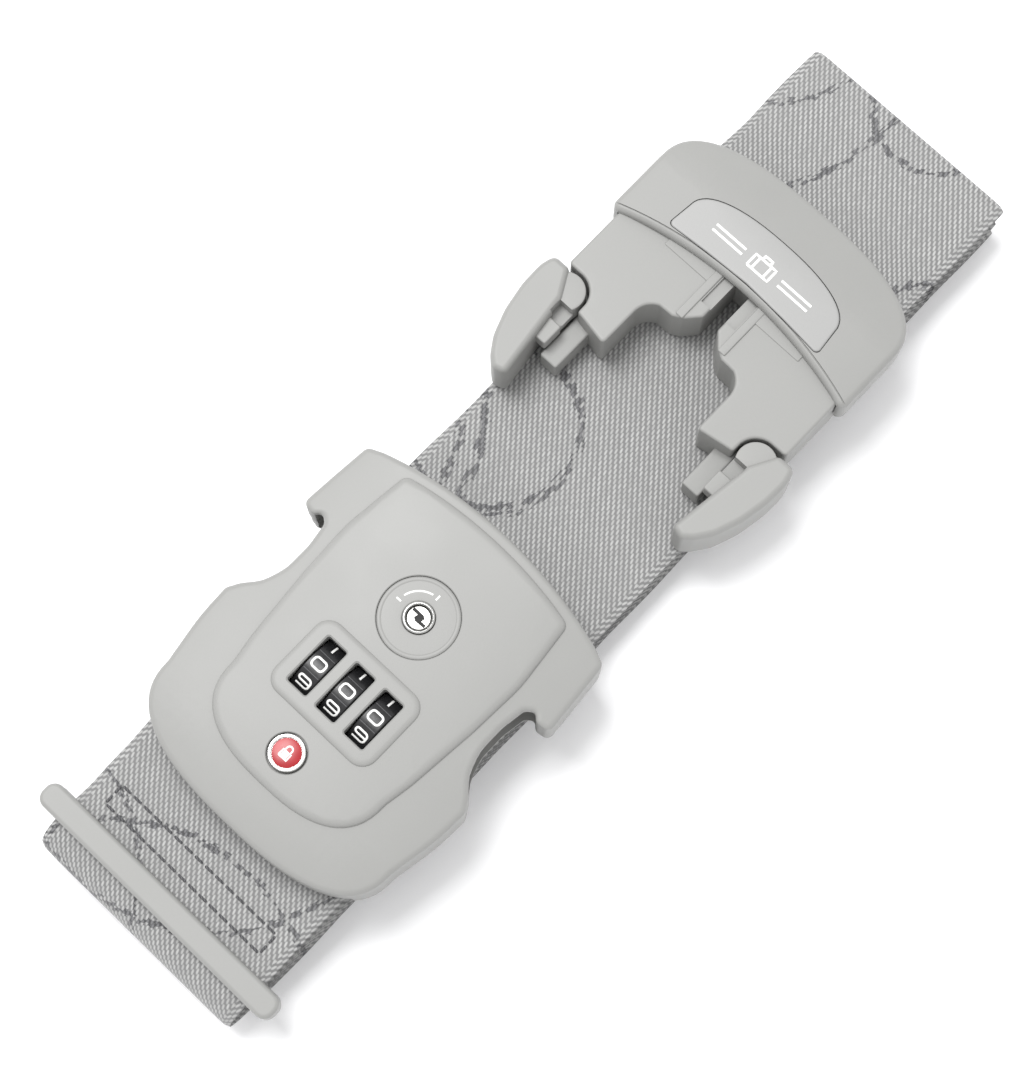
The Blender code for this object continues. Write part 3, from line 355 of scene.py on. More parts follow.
def brushed_metal(name, colour, roughness, scratch):
    """Turned or drawn metal: fine parallel scratches that stretch the highlights."""
    material, tree = new_material(name)
    place = add(tree, "ShaderNodeTexCoord", out="Object")
    stretched = add(tree, "ShaderNodeMapping", {0: place, 3: (1.0, 0.12, 1.0)})
    lines = add(tree, "ShaderNodeTexNoise", {"Vector": stretched, "Scale": 1 / scratch,
                                             "Detail": 4.0})
    bright = srgb(colour)
    tone = add(tree, MIX, {0: lines, 6: tuple(0.82 * c for c in bright[:3]) + (1,), 7: bright}, 2,
               data_type="RGBA")
    rough = add(tree, "ShaderNodeMapRange", {0: lines, 1: 0.3, 2: 0.7,
                                             3: roughness - 0.06, 4: roughness + 0.1})
    bump = add(tree, "ShaderNodeBump", {"Height": lines, "Strength": 0.15, "Distance": 0.03 * MM})
    shader = add(tree, SHADER, {"Base Color": tone, "Metallic": 1.0, "Roughness": rough,
                                "Normal": bump})
    add(tree, OUTPUT, {"Surface": shader})
    return material


def gloss_paint(name, light, dark, roughness, grain=0.6 * MM):
    """Smooth lacquer or polished plastic: nearly even colour and a faint orange peel."""
    material, tree = new_material(name)
    place = add(tree, "ShaderNodeTexCoord", out="Object")
    peel = add(tree, "ShaderNodeTexNoise", {"Vector": place, "Scale": 1 / grain, "Detail": 2.0})
    colour = add(tree, MIX, {0: peel, 6: srgb(dark), 7: srgb(light)}, 2, data_type="RGBA")
    rough = add(tree, "ShaderNodeMapRange", {0: peel, 1: 0.3, 2: 0.7,
                                             3: roughness - 0.04, 4: roughness + 0.05})
    bump = add(tree, "ShaderNodeBump", {"Height": peel, "Strength": 0.1, "Distance": 0.03 * MM})
    shader = add(tree, SHADER, {"Base Color": colour, "Roughness": rough, "Normal": bump})
    add(tree, OUTPUT, {"Surface": shader})
    return material


def line_motif(tree, place):
    """Dark rings drawn by the jacquard: (middle x, middle y, radius, width) in millimetres."""
    rings = [(8, 19.8, 17.8, 0.7), (9.3, 19.8, 17.3, 1.3), (-12, 47, 33, 1.7), (-12, 47, 28.5, 1.5),
             (114, 40, 24, 1.0), (112, 70, 66.3, 0.9), (116.5, -1, 13, 1.1), (-126, -9, 40, 1.0),
             (-70, 16, 39, 0.9), (78, -34, 14.5, 1.4), (-121, 30, 31, 0.7)]
    flat = add(tree, "ShaderNodeVectorMath", {0: place, 1: (1, 1, 0)}, operation="MULTIPLY")
    mark = 0.0
    for x, y, radius, width in rings:
        away = add(tree, "ShaderNodeVectorMath", {0: flat, 1: (x * MM, y * MM, 0)}, "Value",
                   operation="DISTANCE")
        ring = add(tree, MATH, {0: away, 1: radius * MM, 2: width * MM / 2}, operation="COMPARE")
        mark = add(tree, MATH, {0: mark, 1: ring}, operation="MAXIMUM")
    return mark


def woven_polyester():
    """Grey polyester webbing: slanted floats painted lighter on their crests, painted shade between
    them, and darker line motifs.
    """
    material, tree = new_material("woven_polyester_webbing")
    weave = add(tree, "ShaderNodeUVMap", uv_map="weave")
    across = add(tree, "ShaderNodeSeparateXYZ", {0: weave})
    along = across.node.outputs[1]
    # q and p run across and along one float, from its middle
    column = add(tree, MATH, {0: across, 1: THREAD_COLUMN}, operation="DIVIDE")
    column_number = add(tree, MATH, {0: column}, operation="FLOOR")
    odd = add(tree, MATH, {0: column_number, 1: 1.0}, operation="PINGPONG")
    row = add(tree, MATH, {0: along, 1: THREAD_PERIOD}, operation="DIVIDE")
    row = add(tree, MATH, {0: odd, 1: 0.5, 2: row}, operation="MULTIPLY_ADD")
    row_number = add(tree, MATH, {0: row}, operation="FLOOR")
    q = add(tree, MATH, {0: column}, operation="FRACT")
    q = add(tree, MATH, {0: q, 1: THREAD_COLUMN, 2: -THREAD_COLUMN / 2}, operation="MULTIPLY_ADD")
    p = add(tree, MATH, {0: row}, operation="FRACT")
    p = add(tree, MATH, {0: p, 1: THREAD_PERIOD, 2: -THREAD_PERIOD / 2}, operation="MULTIPLY_ADD")
    # the floats lean one way, and the other way in the selvedge
    edge = add(tree, MATH, {0: across}, operation="ABSOLUTE")
    edge = add(tree, MATH, {0: edge, 1: WEB_HALF - SELVEDGE}, operation="GREATER_THAN")
    lean, straight = math.sin(FLOAT_SLANT), math.cos(FLOAT_SLANT)
    lean = add(tree, MATH, {0: edge, 1: -2 * lean, 2: lean}, operation="MULTIPLY_ADD")
    a = add(tree, MATH, {0: q, 1: lean}, operation="MULTIPLY")
    a = add(tree, MATH, {0: p, 1: straight, 2: a}, operation="MULTIPLY_ADD")
    a = add(tree, MATH, {0: a, 1: FLOAT_LENGTH / 2}, operation="DIVIDE")
    a = add(tree, MATH, {0: a}, operation="ABSOLUTE")
    a = add(tree, MATH, {0: a, 1: 3.0}, operation="POWER")
    b = add(tree, MATH, {0: p, 1: lean}, operation="MULTIPLY")
    c = add(tree, MATH, {0: q, 1: straight}, operation="MULTIPLY")
    b = add(tree, MATH, {0: c, 1: b}, operation="SUBTRACT")
    b = add(tree, MATH, {0: b, 1: FLOAT_WIDTH / 2}, operation="DIVIDE")
    b = add(tree, MATH, {0: b, 1: b, 2: a}, operation="MULTIPLY_ADD")
    height = add(tree, MATH, {0: 1.0, 1: b}, operation="SUBTRACT")
    height = add(tree, MATH, {0: height, 1: 0.0}, operation="MAXIMUM")
    raised = add(tree, MATH, {0: height}, operation="SQRT")
    # each float has its own tone, and the motif's edge shifts from float to float
    cell = add(tree, "ShaderNodeCombineXYZ", {0: column_number, 1: row_number})
    chance = add(tree, "ShaderNodeTexWhiteNoise", {"Vector": cell}, noise_dimensions="2D")
    place = add(tree, "ShaderNodeTexCoord", out="Object")
    shake = add(tree, "ShaderNodeVectorMath", {0: chance.node.outputs["Color"],
                                               1: (MOTIF_SHAKE,) * 3, 2: place},
                operation="MULTIPLY_ADD")
    kept = add(tree, MATH, {0: chance, 1: 0.3}, operation="GREATER_THAN")
    motif = add(tree, MATH, {0: line_motif(tree, shake), 1: kept}, operation="MULTIPLY")
    light = add(tree, MIX, {0: chance, 6: srgb("A1A1A0"), 7: srgb("B2B2B1")}, 2, data_type="RGBA")
    light = add(tree, MIX, {0: motif, 6: light, 7: srgb("707072")}, 2, data_type="RGBA")
    # painted shade and highlight: the ground between the floats is painted dark, and each float
    # lightens towards its crest with its height
    gap_shade = add(tree, MIX, {0: motif, 6: srgb("737373"), 7: srgb("3C3C3E")}, 2, data_type="RGBA")
    colour = add(tree, MIX, {0: raised, 6: gap_shade, 7: light}, 2, data_type="RGBA")
    cloud = add(tree, "ShaderNodeTexNoise", {"Vector": place, "Scale": 1 / CLOUD, "Detail": 2.0})
    shade = add(tree, "ShaderNodeMapRange", {0: cloud, 1: 0.3, 2: 0.7, 3: 0.0, 4: 0.14})
    colour = add(tree, MIX, {0: shade, 6: colour, 7: srgb("8A8A89")}, 2, data_type="RGBA")
    bump = add(tree, "ShaderNodeBump", {"Height": raised, "Strength": 0.55, "Distance": 0.16 * MM})
    shader = add(tree, SHADER, {"Base Color": colour, "Roughness": 0.62, "Normal": bump,
                                "Sheen Weight": 0.12, "Sheen Roughness": 0.5})
    add(tree, OUTPUT, {"Surface": shader})
    return material


def sewing_thread():
    """Dark grey bonded polyester thread, twisted from three plies."""
    material, tree = new_material("bonded_sewing_thread")
    place = add(tree, "ShaderNodeTexCoord", out="Object")
    turned_round = add(tree, "ShaderNodeMapping", {0: place, 2: (0, 0, math.radians(35))})
    ply = add(tree, "ShaderNodeTexWave", {"Vector": turned_round, "Scale": 1 / THREAD_PLY,
                                          "Distortion": 1.0}, 1)
    # painted shade and highlight: the grooves between the plies are painted darker and their crests
    # lighter, following the bump
    colour = add(tree, MIX, {0: ply, 6: srgb("3C3C3E"), 7: srgb("636365")}, 2, data_type="RGBA")
    bump = add(tree, "ShaderNodeBump", {"Height": ply, "Strength": 0.5, "Distance": 0.08 * MM})
    shader = add(tree, SHADER, {"Base Color": colour, "Roughness": 0.7, "Normal": bump})
    add(tree, OUTPUT, {"Surface": shader})
    return material


SHELL = moulded_abs("spark_textured_abs", "959593", "8A8A88", 0.5)
PLATE = moulded_abs("smooth_abs_plate", "9E9E9D", "959594", 0.44)
DIAL_BLACK = gloss_paint("black_acetal", "1C1C1E", "101012", 0.32)
WHITE_PAINT = gloss_paint("white_pad_print", "F4F4F2", "E6E6E4", 0.4)
RED_ENAMEL = gloss_paint("red_enamel", "AE1620", "8E1019", 0.3, 3 * MM)
# painted shade: a near-black finish for the fill that stands in for the shade deep in the keyway
KEYWAY_SHADE = gloss_paint("painted_keyway_shade", "0C0C0C", "060606", 0.6)
# painted highlight: grey lines on the black dials stand in for the light caught by the notch edges
# between the digits
NOTCH_HIGHLIGHT = gloss_paint("painted_notch_highlight", "565658", "464648", 0.5)
NICKEL = brushed_metal("polished_nickel", "C9C9C7", 0.24, 0.5 * MM)
KEY_STEEL = brushed_metal("key_core_steel", "AFAFAD", 0.34, 0.4 * MM)
STEEL = brushed_metal("drawn_steel", "C4C4C6", 0.34, 0.4 * MM)
SPRING_STEEL = brushed_metal("spring_steel", "A8A8AC", 0.3, 0.3 * MM)
BRASS = brushed_metal("turned_brass", "C9A86A", 0.3, 0.4 * MM)
WEBBING = woven_polyester()
THREAD = sewing_thread()


# --- outlines ---------------------------------------------------------------------------------
def front_edge(start, half, steps=12):
    """Half of the bowed edge where the two halves of the buckle meet, from y 0 out to half."""
    radius = (LOCK_SIDE ** 2 + FRONT_BOW ** 2) / (2 * FRONT_BOW)
    reach = [half * i / steps for i in range(steps + 1)]
    return [(start - radius + math.sqrt(radius ** 2 - y ** 2), y, 0) for y in reach]


def rear_corner(start, length, half, steps=20, squareness=0.77):
    """A full soft corner from the side line round to the middle of the rear edge."""
    turns = [math.pi / 2 * (1 - i / steps) for i in range(steps + 1)]
    return [(start + length * abs(math.cos(t)) ** squareness,
             half * abs(math.sin(t)) ** squareness, 0) for t in turns]


def shifted(points, x, flip=1):
    return [(x + flip * p[0], max(p[1], 0.0), p[2]) for p in points]


def lock_outline(inset=0.0):
    side = LOCK_SIDE - inset
    half = front_edge(-inset, side - 4.4 * MM)
    half += [(-5.2 * MM, side - 1.3 * MM, 1.5 * MM), (-13 * MM, side - 0.6 * MM, 30 * MM)]
    half += [(-21.2 * MM + inset, side, 1.4 * MM), (-21.7 * MM + inset, side - 2.9 * MM, 1.3 * MM)]
    half += [(-20.3 * MM + inset, side - 4.4 * MM, 0.9 * MM)]
    half += [(-21.6 * MM + inset, side - 6.0 * MM, 1.4 * MM)]
    half += [(-26.6 * MM, side - 6.8 * MM, 9 * MM), (-32.6 * MM, side - 6.8 * MM, 9 * MM)]
    half += [(-37.3 * MM, side - 5.2 * MM, 7 * MM), (-40.4 * MM, side - 2.4 * MM, 5 * MM)]
    half += [(-42.9 * MM - inset, side - 0.9 * MM, 1.8 * MM), (-50 * MM, side - 1.2 * MM, 40 * MM)]
    rear = rear_corner(60 * MM, LOCK_LENGTH - 60 * MM - inset, side - 3 * MM)
    return softened(mirrored([(LOCK_FRONT + p[0], p[1], p[2]) for p in half]
                             + shifted(rear, LOCK_FRONT, -1)))


def panel_outline():
    side = LOCK_SIDE - 11.5 * MM
    length = LOCK_LENGTH - 9.5 * MM
    half = front_edge(-2.2 * MM, side - 3.4 * MM, 8)
    half += [(-4.5 * MM, side + 0.6 * MM, 2.0 * MM), (-19 * MM, side + 2.2 * MM, 25 * MM)]
    half += [(-31 * MM, side + 1.6 * MM, 30 * MM), (-46 * MM, side + 0.2 * MM, 30 * MM)]
    rear = rear_corner(length - 13 * MM, 13 * MM, side - 0.8 * MM, 16)
    return softened(mirrored([(LOCK_FRONT + p[0], p[1], p[2]) for p in half]
                             + shifted(rear, LOCK_FRONT, -1)))


def leg_inside(grow=0.0):
    """A leg's inner side: slot, arch, leg end and the round pocket for the wing's hub."""
    inner, slot, end = 12.3 * MM - grow, 1.9 * MM - grow, LEG_END - grow
    half = [(PLUG_FRONT + 1.2 * MM, slot, 0), (PLUG_FRONT - 8.7 * MM, slot, 0.8 * MM)]
    half += [(PLUG_FRONT - 11.6 * MM, 4.5 * MM - grow, 1.2 * MM)]
    half += [(PLUG_FRONT - 12.6 * MM, 6.4 * MM - grow, 0.8 * MM)]
    half += [p + (0,) for p in arc(PLUG_FRONT - 16.9 * MM, inner - 4.6 * MM, 4.6 * MM, 25, 95, 9)]
    half += [(end, inner, 0.8 * MM), (end + 1.4 * MM, HUB.y - HUB_RADIUS - 2 * CLEAR, 0.6 * MM)]
    return half


def plug_outline():
    half = leg_inside()
    half += [p + (0,) for p in arc(HUB.x, HUB.y, HUB_RADIUS + 2 * CLEAR, -80, -6, 9)]
    half += [(HUB.x + HUB_RADIUS + 2 * CLEAR, PLUG_SIDE, 0.9 * MM)]
    half += shifted(rear_corner(10 * MM, COVER_LENGTH - 12.2 * MM, PLUG_SIDE), PLUG_FRONT)
    return softened(mirrored(half))


def cover_outline(inset=0.0):
    side = COVER_SIDE - inset
    half = [(PLUG_FRONT + p[0], p[1], 0) for p in front_edge(-inset / 3, side - 4 * MM)]
    half += [(PLUG_FRONT - 4.8 * MM, side, 1.7 * MM)]
    half += shifted(rear_corner(10 * MM, COVER_LENGTH - 10 * MM - inset, side), PLUG_FRONT)
    return softened(mirrored(half))


def nameplate_outline(grow=0.0):
    half = [(PLUG_FRONT + 1.3 * MM - grow, 0, 0), (PLUG_FRONT + 0.8 * MM - grow, 10 * MM, 0)]
    half += [(PLUG_FRONT + 0.1 * MM - grow, 19.3 * MM + grow, 1.0 * MM)]
    half += [(x + grow, y + grow, 0) for x, y, _ in
             shifted(rear_corner(5.6 * MM, 6.8 * MM, 18.7 * MM, 14, 0.86), PLUG_FRONT)[:-1]]
    half += [(PLUG_FRONT + 12.4 * MM + grow, 0, 0)]
    return softened(mirrored(half))


# --- webbing ----------------------------------------------------------------------------------
def layer_height(layer):
    return WEB_THICK / 2 + layer * LAYER_PITCH


def fold(x, start, end, side, steps=10):
    radius = (end - start) / 2
    return [(x + side * abs(radius) * math.sin(math.pi * i / steps),
             start + radius - radius * math.cos(math.pi * i / steps)) for i in range(steps + 1)]


def strap_line():
    """The strap's middle line in (x, z), from the sewn tail behind the lock to the free end."""
    left = (KEEPER_WEB_Z - WEB_THICK / 2) / 2 + WEB_THICK / 2 + 2 * CLEAR + cad_low.x
    right = high("webbing_pack").x - LAYER_PITCH / 2 - WEB_THICK / 2
    line = [(HEM_END, KEEPER_WEB_Z + CLEAR - LAYER_PITCH), (HEM_START, KEEPER_WEB_Z + HEM_RISE
                                                            - LAYER_PITCH)]
    line += [(LOCK_BAR.x + BAR_TURN * math.cos(a), LOCK_BAR.z + BAR_TURN * math.sin(a))
             for a in [math.radians(-100 + 12.5 * i) for i in range(17)]]
    line += [(HEM_START, KEEPER_WEB_Z + HEM_RISE), (HEM_END + 1 * MM, KEEPER_WEB_Z)]
    line += list(reversed(fold(left - 2 * CLEAR, layer_height(0), KEEPER_WEB_Z, -1, 20)))
    for layer in range(LAYERS - 1):
        start, end = layer_height(layer), layer_height(layer + 1)
        if layer % 2 == 0:
            line += fold(right - 1.5 * MM * (layer % 4), start, end, 1)
        else:
            line += fold(left + 1.0 * MM * (layer % 3), start, end, -1)
    top = layer_height(LAYERS - 1)
    line += fold(right, top, top + 2 * LAYER_PITCH, 1, 14)
    line += [(PLUG_FRONT + COVER_LENGTH + 8 * MM, top + 2 * LAYER_PITCH)]
    line += [(PLUG_BAR.x + BAR_TURN * math.cos(a), PLUG_BAR.z + BAR_TURN * math.sin(a))
             for a in [math.radians(80 + 12.5 * i) for i in range(17)]]
    line += [(PLUG_BAR.x + 7 * MM, top + LAYER_PITCH), (right - 9 * MM, top + LAYER_PITCH)]
    return [Vector((x, 0, z)) for x, z in line]


def resampled(line, step):
    """The line with its long stretches cut into short ones, and each point's distance along it."""
    points = [line[0]]
    for a, b in zip(line, line[1:]):
        pieces = max(1, round((b - a).length / step))
        points += [a.lerp(b, i / pieces) for i in range(1, pieces + 1)]
    runs = [0.0]
    for a, b in zip(points, points[1:]):
        runs.append(runs[-1] + (b - a).length)
    return points, runs


STITCH_ROWS = (HEM_END + 1.4 * MM, HEM_START - 5.4 * MM)   # across the strap, over the hem
STITCH_HALF = 20.3 * MM


def puckered(point, y):
    """How far the cloth sinks where the hem's stitch rows pull it down."""
    if point.z < KEEPER_WEB_Z - 0.2 * MM or point.x > HEM_START + 1 * MM or point.x < HEM_END:
        return 0.0
    near = min(abs(point.x - x) for x in STITCH_ROWS)
    return 0.16 * MM * math.exp(-(near / (0.9 * MM)) ** 2) * (abs(y) < STITCH_HALF)


def webbing():
    line = strap_line()
    points, runs = resampled(line, 1.6 * MM)
    bm = bmesh.new()
    uv = bm.loops.layers.uv.new("weave")
    across = [WEB_HALF * (0.35 * math.sin(math.pi / 2 * t) + 0.65 * t)
              for t in [2 * i / 30 - 1 for i in range(31)]]
    rings = []
    for i, point in enumerate(points):
        before, after = points[max(i - 1, 0)], points[min(i + 1, len(points) - 1)]
        along = (after - before).normalized()
        out = Vector((-along.z, 0, along.x))
        ring = []
        for side in (1, -1):
            for y in (across if side == 1 else reversed(across)):
                edge = min(abs(y) / WEB_HALF, 1)
                thick = WEB_THICK / 2 * math.sqrt(max(1 - edge ** 26, 0.0))
                lean = 1 if y > 0 else -0.7
                wave = 0.18 * MM * math.sin(runs[i] / (5.1 * MM)) * edge ** 8 * lean
                place = point + out * side * thick
                place.z -= puckered(point, y) * (side == -1)
                ring.append(bm.verts.new((place.x, y + wave, place.z)))
        rings.append(ring)
    count = len(rings[0])
    for i in range(len(rings) - 1):
        for j in range(count):
            k = (j + 1) % count
            face = bm.faces.new((rings[i][j], rings[i][k], rings[i + 1][k], rings[i + 1][j]))
            half = count // 2
            turn = 1 if j < half else -1
            for loop in face.loops:
                own = rings[i] if loop.vert in rings[i] else rings[i + 1]
                run = runs[i] if own is rings[i] else runs[i + 1]
                loop[uv].uv = (turn * loop.vert.co.y, run)
    for ring in (rings[0], rings[-1]):
        cap = bm.faces.new(ring)
        for loop in cap.loops:
            loop[uv].uv = (loop.vert.co.y, 0)
    bmesh.ops.remove_doubles(bm, verts=bm.verts, dist=1e-7)
    piece = made("strap_webbing", bm)
    place_piece(piece, "root", WEBBING,
                ("webbing_pack", "webbing_lock_end", "webbing_plug_end"), 60)
    return piece, runs[-1]


def capsule(bm, start, end, radius):
    """One stitch: a short round-ended thread between two points, a few dozen faces."""
    along = (end - start)
    turn = Vector((0, 0, 1)).rotation_difference(along).to_matrix()
    stitch = bmesh.ops.create_uvsphere(bm, u_segments=6, v_segments=6, radius=radius)["verts"]
    for vert in stitch:
        if vert.co.z > radius * 0.1:
            vert.co.z += along.length - 2 * radius
    bmesh.ops.rotate(bm, verts=stitch, cent=(0, 0, 0), matrix=turn)
    bmesh.ops.translate(bm, verts=stitch, vec=start + along.normalized() * radius)


def stitching():
    """The sewn box that closes the hem: two rows across the strap, joined at their ends."""
    bm = bmesh.new()
    pitch = 2.7 * MM
    low_x, high_x = STITCH_ROWS

    def top(x):
        share = (x - HEM_END - 1 * MM) / (HEM_START - HEM_END - 1 * MM)
        return KEEPER_WEB_Z + WEB_THICK / 2 + HEM_RISE * max(share, 0)

    corners = [(low_x, -STITCH_HALF), (low_x, STITCH_HALF), (high_x, STITCH_HALF),
               (high_x, -STITCH_HALF)]
    for (x0, y0), (x1, y1) in zip(corners, corners[1:] + corners[:1]):
        length = math.hypot(x1 - x0, y1 - y0)
        count = max(1, round(length / pitch))
        for i in range(count):
            a, b = (i + 0.12) / count, (i + 0.88) / count
            ends = [Vector((x0 + (x1 - x0) * t, y0 + (y1 - y0) * t, top(x0 + (x1 - x0) * t)))
                    for t in (a, b)]
            capsule(bm, ends[0], ends[1], 0.3 * MM)
    return place_piece(made("hem_stitching", bm), "root", THREAD, (), 60)


def keeper():
    """The moulded loop: soft corners all round and a slot for one thickness of strap."""
    box_low, box_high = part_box("keeper")
    body = rounded_block("strap_keeper", box_outline(box_low.x, box_high.x, box_low.y, box_high.y,
                                                     2.2 * MM),
                         box_low.z, box_high.z, (0.9 * MM, 0.9 * MM), (0.6 * MM, 0.6 * MM))
    slot = rounded_block("keeper_slot", box_outline(box_low.x - 1 * MM, box_high.x + 1 * MM,
                                                    -WEB_ROOM, WEB_ROOM),
                         SLOT_LOW, SLOT_LOW + WEB_THICK + 2 * CLEAR)
    cut(body, slot)
    place_piece(body, "keeper_body", SHELL, ("keeper",))


# --- lock -------------------------------------------------------------------------------------
def lock_drop(x, y):
    """How far the lock's top falls away towards its sides and its back."""
    back = max(0.0, (LOCK_FRONT - 58 * MM - x) / (16 * MM))
    return 2.7 * MM * (abs(y) / LOCK_SIDE) ** 2.6 + 2.2 * MM * back ** 2


def lock_rooms():
    travel = LOCK_FRONT - PLUG_FRONT
    wall = LOCK_SIDE - 3.2 * MM
    front, back = LOCK_FRONT + 2 * MM, LOCK_FRONT - 53 * MM
    inside = softened(leg_inside(0.4 * MM) + [(LEG_END, 40 * MM, 0)])[:-1]
    leg = [(x + travel, y) for x, y in inside]
    outline = leg + [(back, leg[-1][1]), (back, wall), (front, wall), (front, leg[0][1])]
    rooms = [rounded_block(f"plug_room_{side}", [(x, side * y) for x, y in outline], FLOOR,
                           FLOOR + PLUG_TOP - DECK + 2 * CLEAR) for side in (1, -1)]
    half = 1.5 * DIAL_PITCH + 3.2 * MM
    pocket = box_outline(DIAL.x - DIAL_RADIUS - 1.8 * MM, KEY.x - 2.3 * MM, -half, half)
    rooms.append(rounded_block("mechanism_room", pocket, FLOOR, CEILING))
    slot = box_outline(LOCK_REAR - 2 * MM, LOCK_BAR.x + 3.6 * MM, -WEB_ROOM, WEB_ROOM)
    rooms.append(rounded_block("webbing_room", slot, DECK - 1 * MM, LOCK_BAR.z + 3.5 * MM))
    return rooms


def bar_hole(bar):
    """The bore for a webbing bar, with its play at both ends."""
    half = high(bar).y + CLEAR
    return rod("bar_hole", BAR_BORE, 2 * half, (middle(bar).x, half, middle(bar).z), "Y")


def screw_hole(screw, length):
    """A hole from underneath: a recess for the screw's head, then its shank's bore."""
    profile = [(0, -1 * MM), (HEAD_ROOM, -1 * MM), (HEAD_ROOM, HEAD_DEPTH),
               (SHANK_BORE, HEAD_DEPTH), (SHANK_BORE, length), (0, length)]
    return turned("screw_hole", profile, (middle(screw).x, middle(screw).y, DECK), "Z", 24)


def lock_top():
    top = rounded_block("lock_top", lock_outline(), SPLIT, LOCK_TOP, (1.1 * MM, 1.1 * MM),
                        (0.3 * MM, 0.3 * MM), 6)
    panel = rounded_block("panel", panel_outline(), LOCK_TOP - WALL / 2, PANEL_TOP,
                          (1.5 * MM, 1.0 * MM))
    reach, half = 8.6 * MM, DIAL_PITCH + DIAL_WIDTH / 2 + 3.4 * MM
    surround = box_outline(DIAL.x - reach, DIAL.x + reach, -half, half, 3.4 * MM)
    raised = rounded_block("dial_surround", surround, LOCK_TOP, FRAME_TOP, (1.3 * MM, FRAME_RISE))
    join(top, panel)
    join(top, raised)
    cut(top, *lock_rooms())
    shaft = rod("shaft_hole", 1.7 * MM, 31.3 * MM, (DIAL.x, 15.65 * MM, DIAL.z), "Y")
    cut(top, shaft, bar_hole("lock_webbing_bar"))
    for slot in (-1, 0, 1):
        y, wide, long = slot * DIAL_PITCH, DIAL_WIDTH / 2 + 0.25 * MM, 5.6 * MM
        outline = box_outline(DIAL.x - long, DIAL.x + long, y - wide, y + wide, 0.5 * MM)
        window = rounded_block("window", outline, CEILING - 1 * MM, FRAME_TOP + 1 * MM)
        flare = rounded_block("window_edge", box_outline(DIAL.x - long - 0.35 * MM,
                                                         DIAL.x + long + 0.35 * MM,
                                                         y - wide - 0.35 * MM, y + wide + 0.35 * MM,
                                                         0.8 * MM),
                              FRAME_TOP - 0.25 * MM, FRAME_TOP + 1 * MM, (0, 0),
                              (0.35 * MM, 0.3 * MM), 1)
        cut(top, window, flare)
    ledge, disc = PANEL_TOP - 1.2 * MM, KEY_DISC_RADIUS + 0.1 * MM
    bore, swing = COLLAR_RADIUS + CLEAR, 5.2 * MM
    cam_low, cam_high = low("key_cam").z - CLEAR, high("key_cam").z + CLEAR
    key_room = turned("key_room", [(0, DECK), (bore, DECK), (bore, cam_low), (swing, cam_low),
                                   (swing, cam_high), (bore, cam_high), (bore, ledge),
                                   (disc, ledge), (disc, PANEL_TOP - 0.16 * MM),
                                   (disc + 0.24 * MM, PANEL_TOP + 0.08 * MM),
                                   (disc + 0.24 * MM, PANEL_TOP + 2 * MM), (0, PANEL_TOP + 2 * MM)],
                      (KEY.x, KEY.y, 0), "Z", 80)
    round_room = BADGE_RADIUS + CLEAR
    badge_room = turned("badge_room", [(0, 0), (round_room, 0), (round_room, 0.75 * MM),
                                       (round_room + 0.4 * MM, 1.1 * MM),
                                       (round_room + 0.4 * MM, 3 * MM), (0, 3 * MM)],
                        (BADGE.x, BADGE.y, PANEL_TOP - 0.9 * MM), "Z", 64)
    cut(top, key_room, badge_room)
    for number in range(1, 5):
        screw = f"lock_screw_{number}"
        cut(top, rod("shank_hole", SHANK_BORE, high(screw).z + CLEAR - SPLIT + 1 * MM,
                     (middle(screw).x, middle(screw).y, SPLIT - 1 * MM), "Z", 20))
    crown(top, 2.5 * MM, SPLIT, LOCK_TOP, lock_drop)
    place_piece(top, "root", SHELL, ("lock_top_shell",))


def lock_bottom():
    bottom = rounded_block("lock_bottom", lock_outline(0.15 * MM), DECK, SPLIT - CLEAR,
                           (0.3 * MM, 0.3 * MM), (0.8 * MM, 0.8 * MM))
    cut(bottom, *lock_rooms())
    reset, bore = middle("reset_button"), COLLAR_RADIUS + CLEAR
    button_hole = rod("button_hole", 2.5 * MM, 4 * MM, (reset.x, 0, DECK - 1 * MM))
    key_hole = rod("key_hole", bore, 12 * MM, (KEY.x, 0, DECK + 3.2 * MM))
    cut(bottom, bar_hole("lock_webbing_bar"), button_hole, key_hole)
    for number in range(1, 5):
        cut(bottom, screw_hole(f"lock_screw_{number}", 9 * MM))
    place_piece(bottom, "root", SHELL, ("lock_bottom_shell",))


# Each digit as lines on a grid: right and up from its middle, in half widths and half heights.
DIGITS = [
    [[(-1, -1), (-1, 1), (1, 1), (1, -1), (-1, -1)]],
    [[(0, -1), (0, 1)]],
    [[(-1, 1), (1, 1), (1, 0), (-1, 0), (-1, -1), (1, -1)]],
    [[(-1, 1), (1, 1), (1, -1), (-1, -1)], [(-0.4, 0), (1, 0)]],
    [[(-1, 1), (-1, 0), (1, 0)], [(1, 1), (1, -1)]],
    [[(1, 1), (-1, 1), (-1, 0), (1, 0), (1, -1), (-1, -1)]],
    [[(1, 1), (-1, 1), (-1, -1), (1, -1), (1, 0), (-1, 0)]],
    [[(-1, 1), (1, 1), (1, -1)]],
    [[(-1, -1), (-1, 1), (1, 1), (1, -1), (-1, -1)], [(-1, 0), (1, 0)]],
    [[(-1, -1), (1, -1), (1, 1), (-1, 1), (-1, 0), (1, 0)]],
]


def rounded_stroke(points, radius):
    """An open or closed line with its corners rounded, as 2-D points."""
    closed = points[0] == points[-1]
    if len(points) == 2:
        return points
    core = points[:-1] if closed else points
    corners = [(x, y, radius) for x, y in core]
    if not closed:
        corners[0] = corners[0][:2] + (0,)
        corners[-1] = corners[-1][:2] + (0,)
    line = softened(corners)
    return line + line[:1] if closed else line


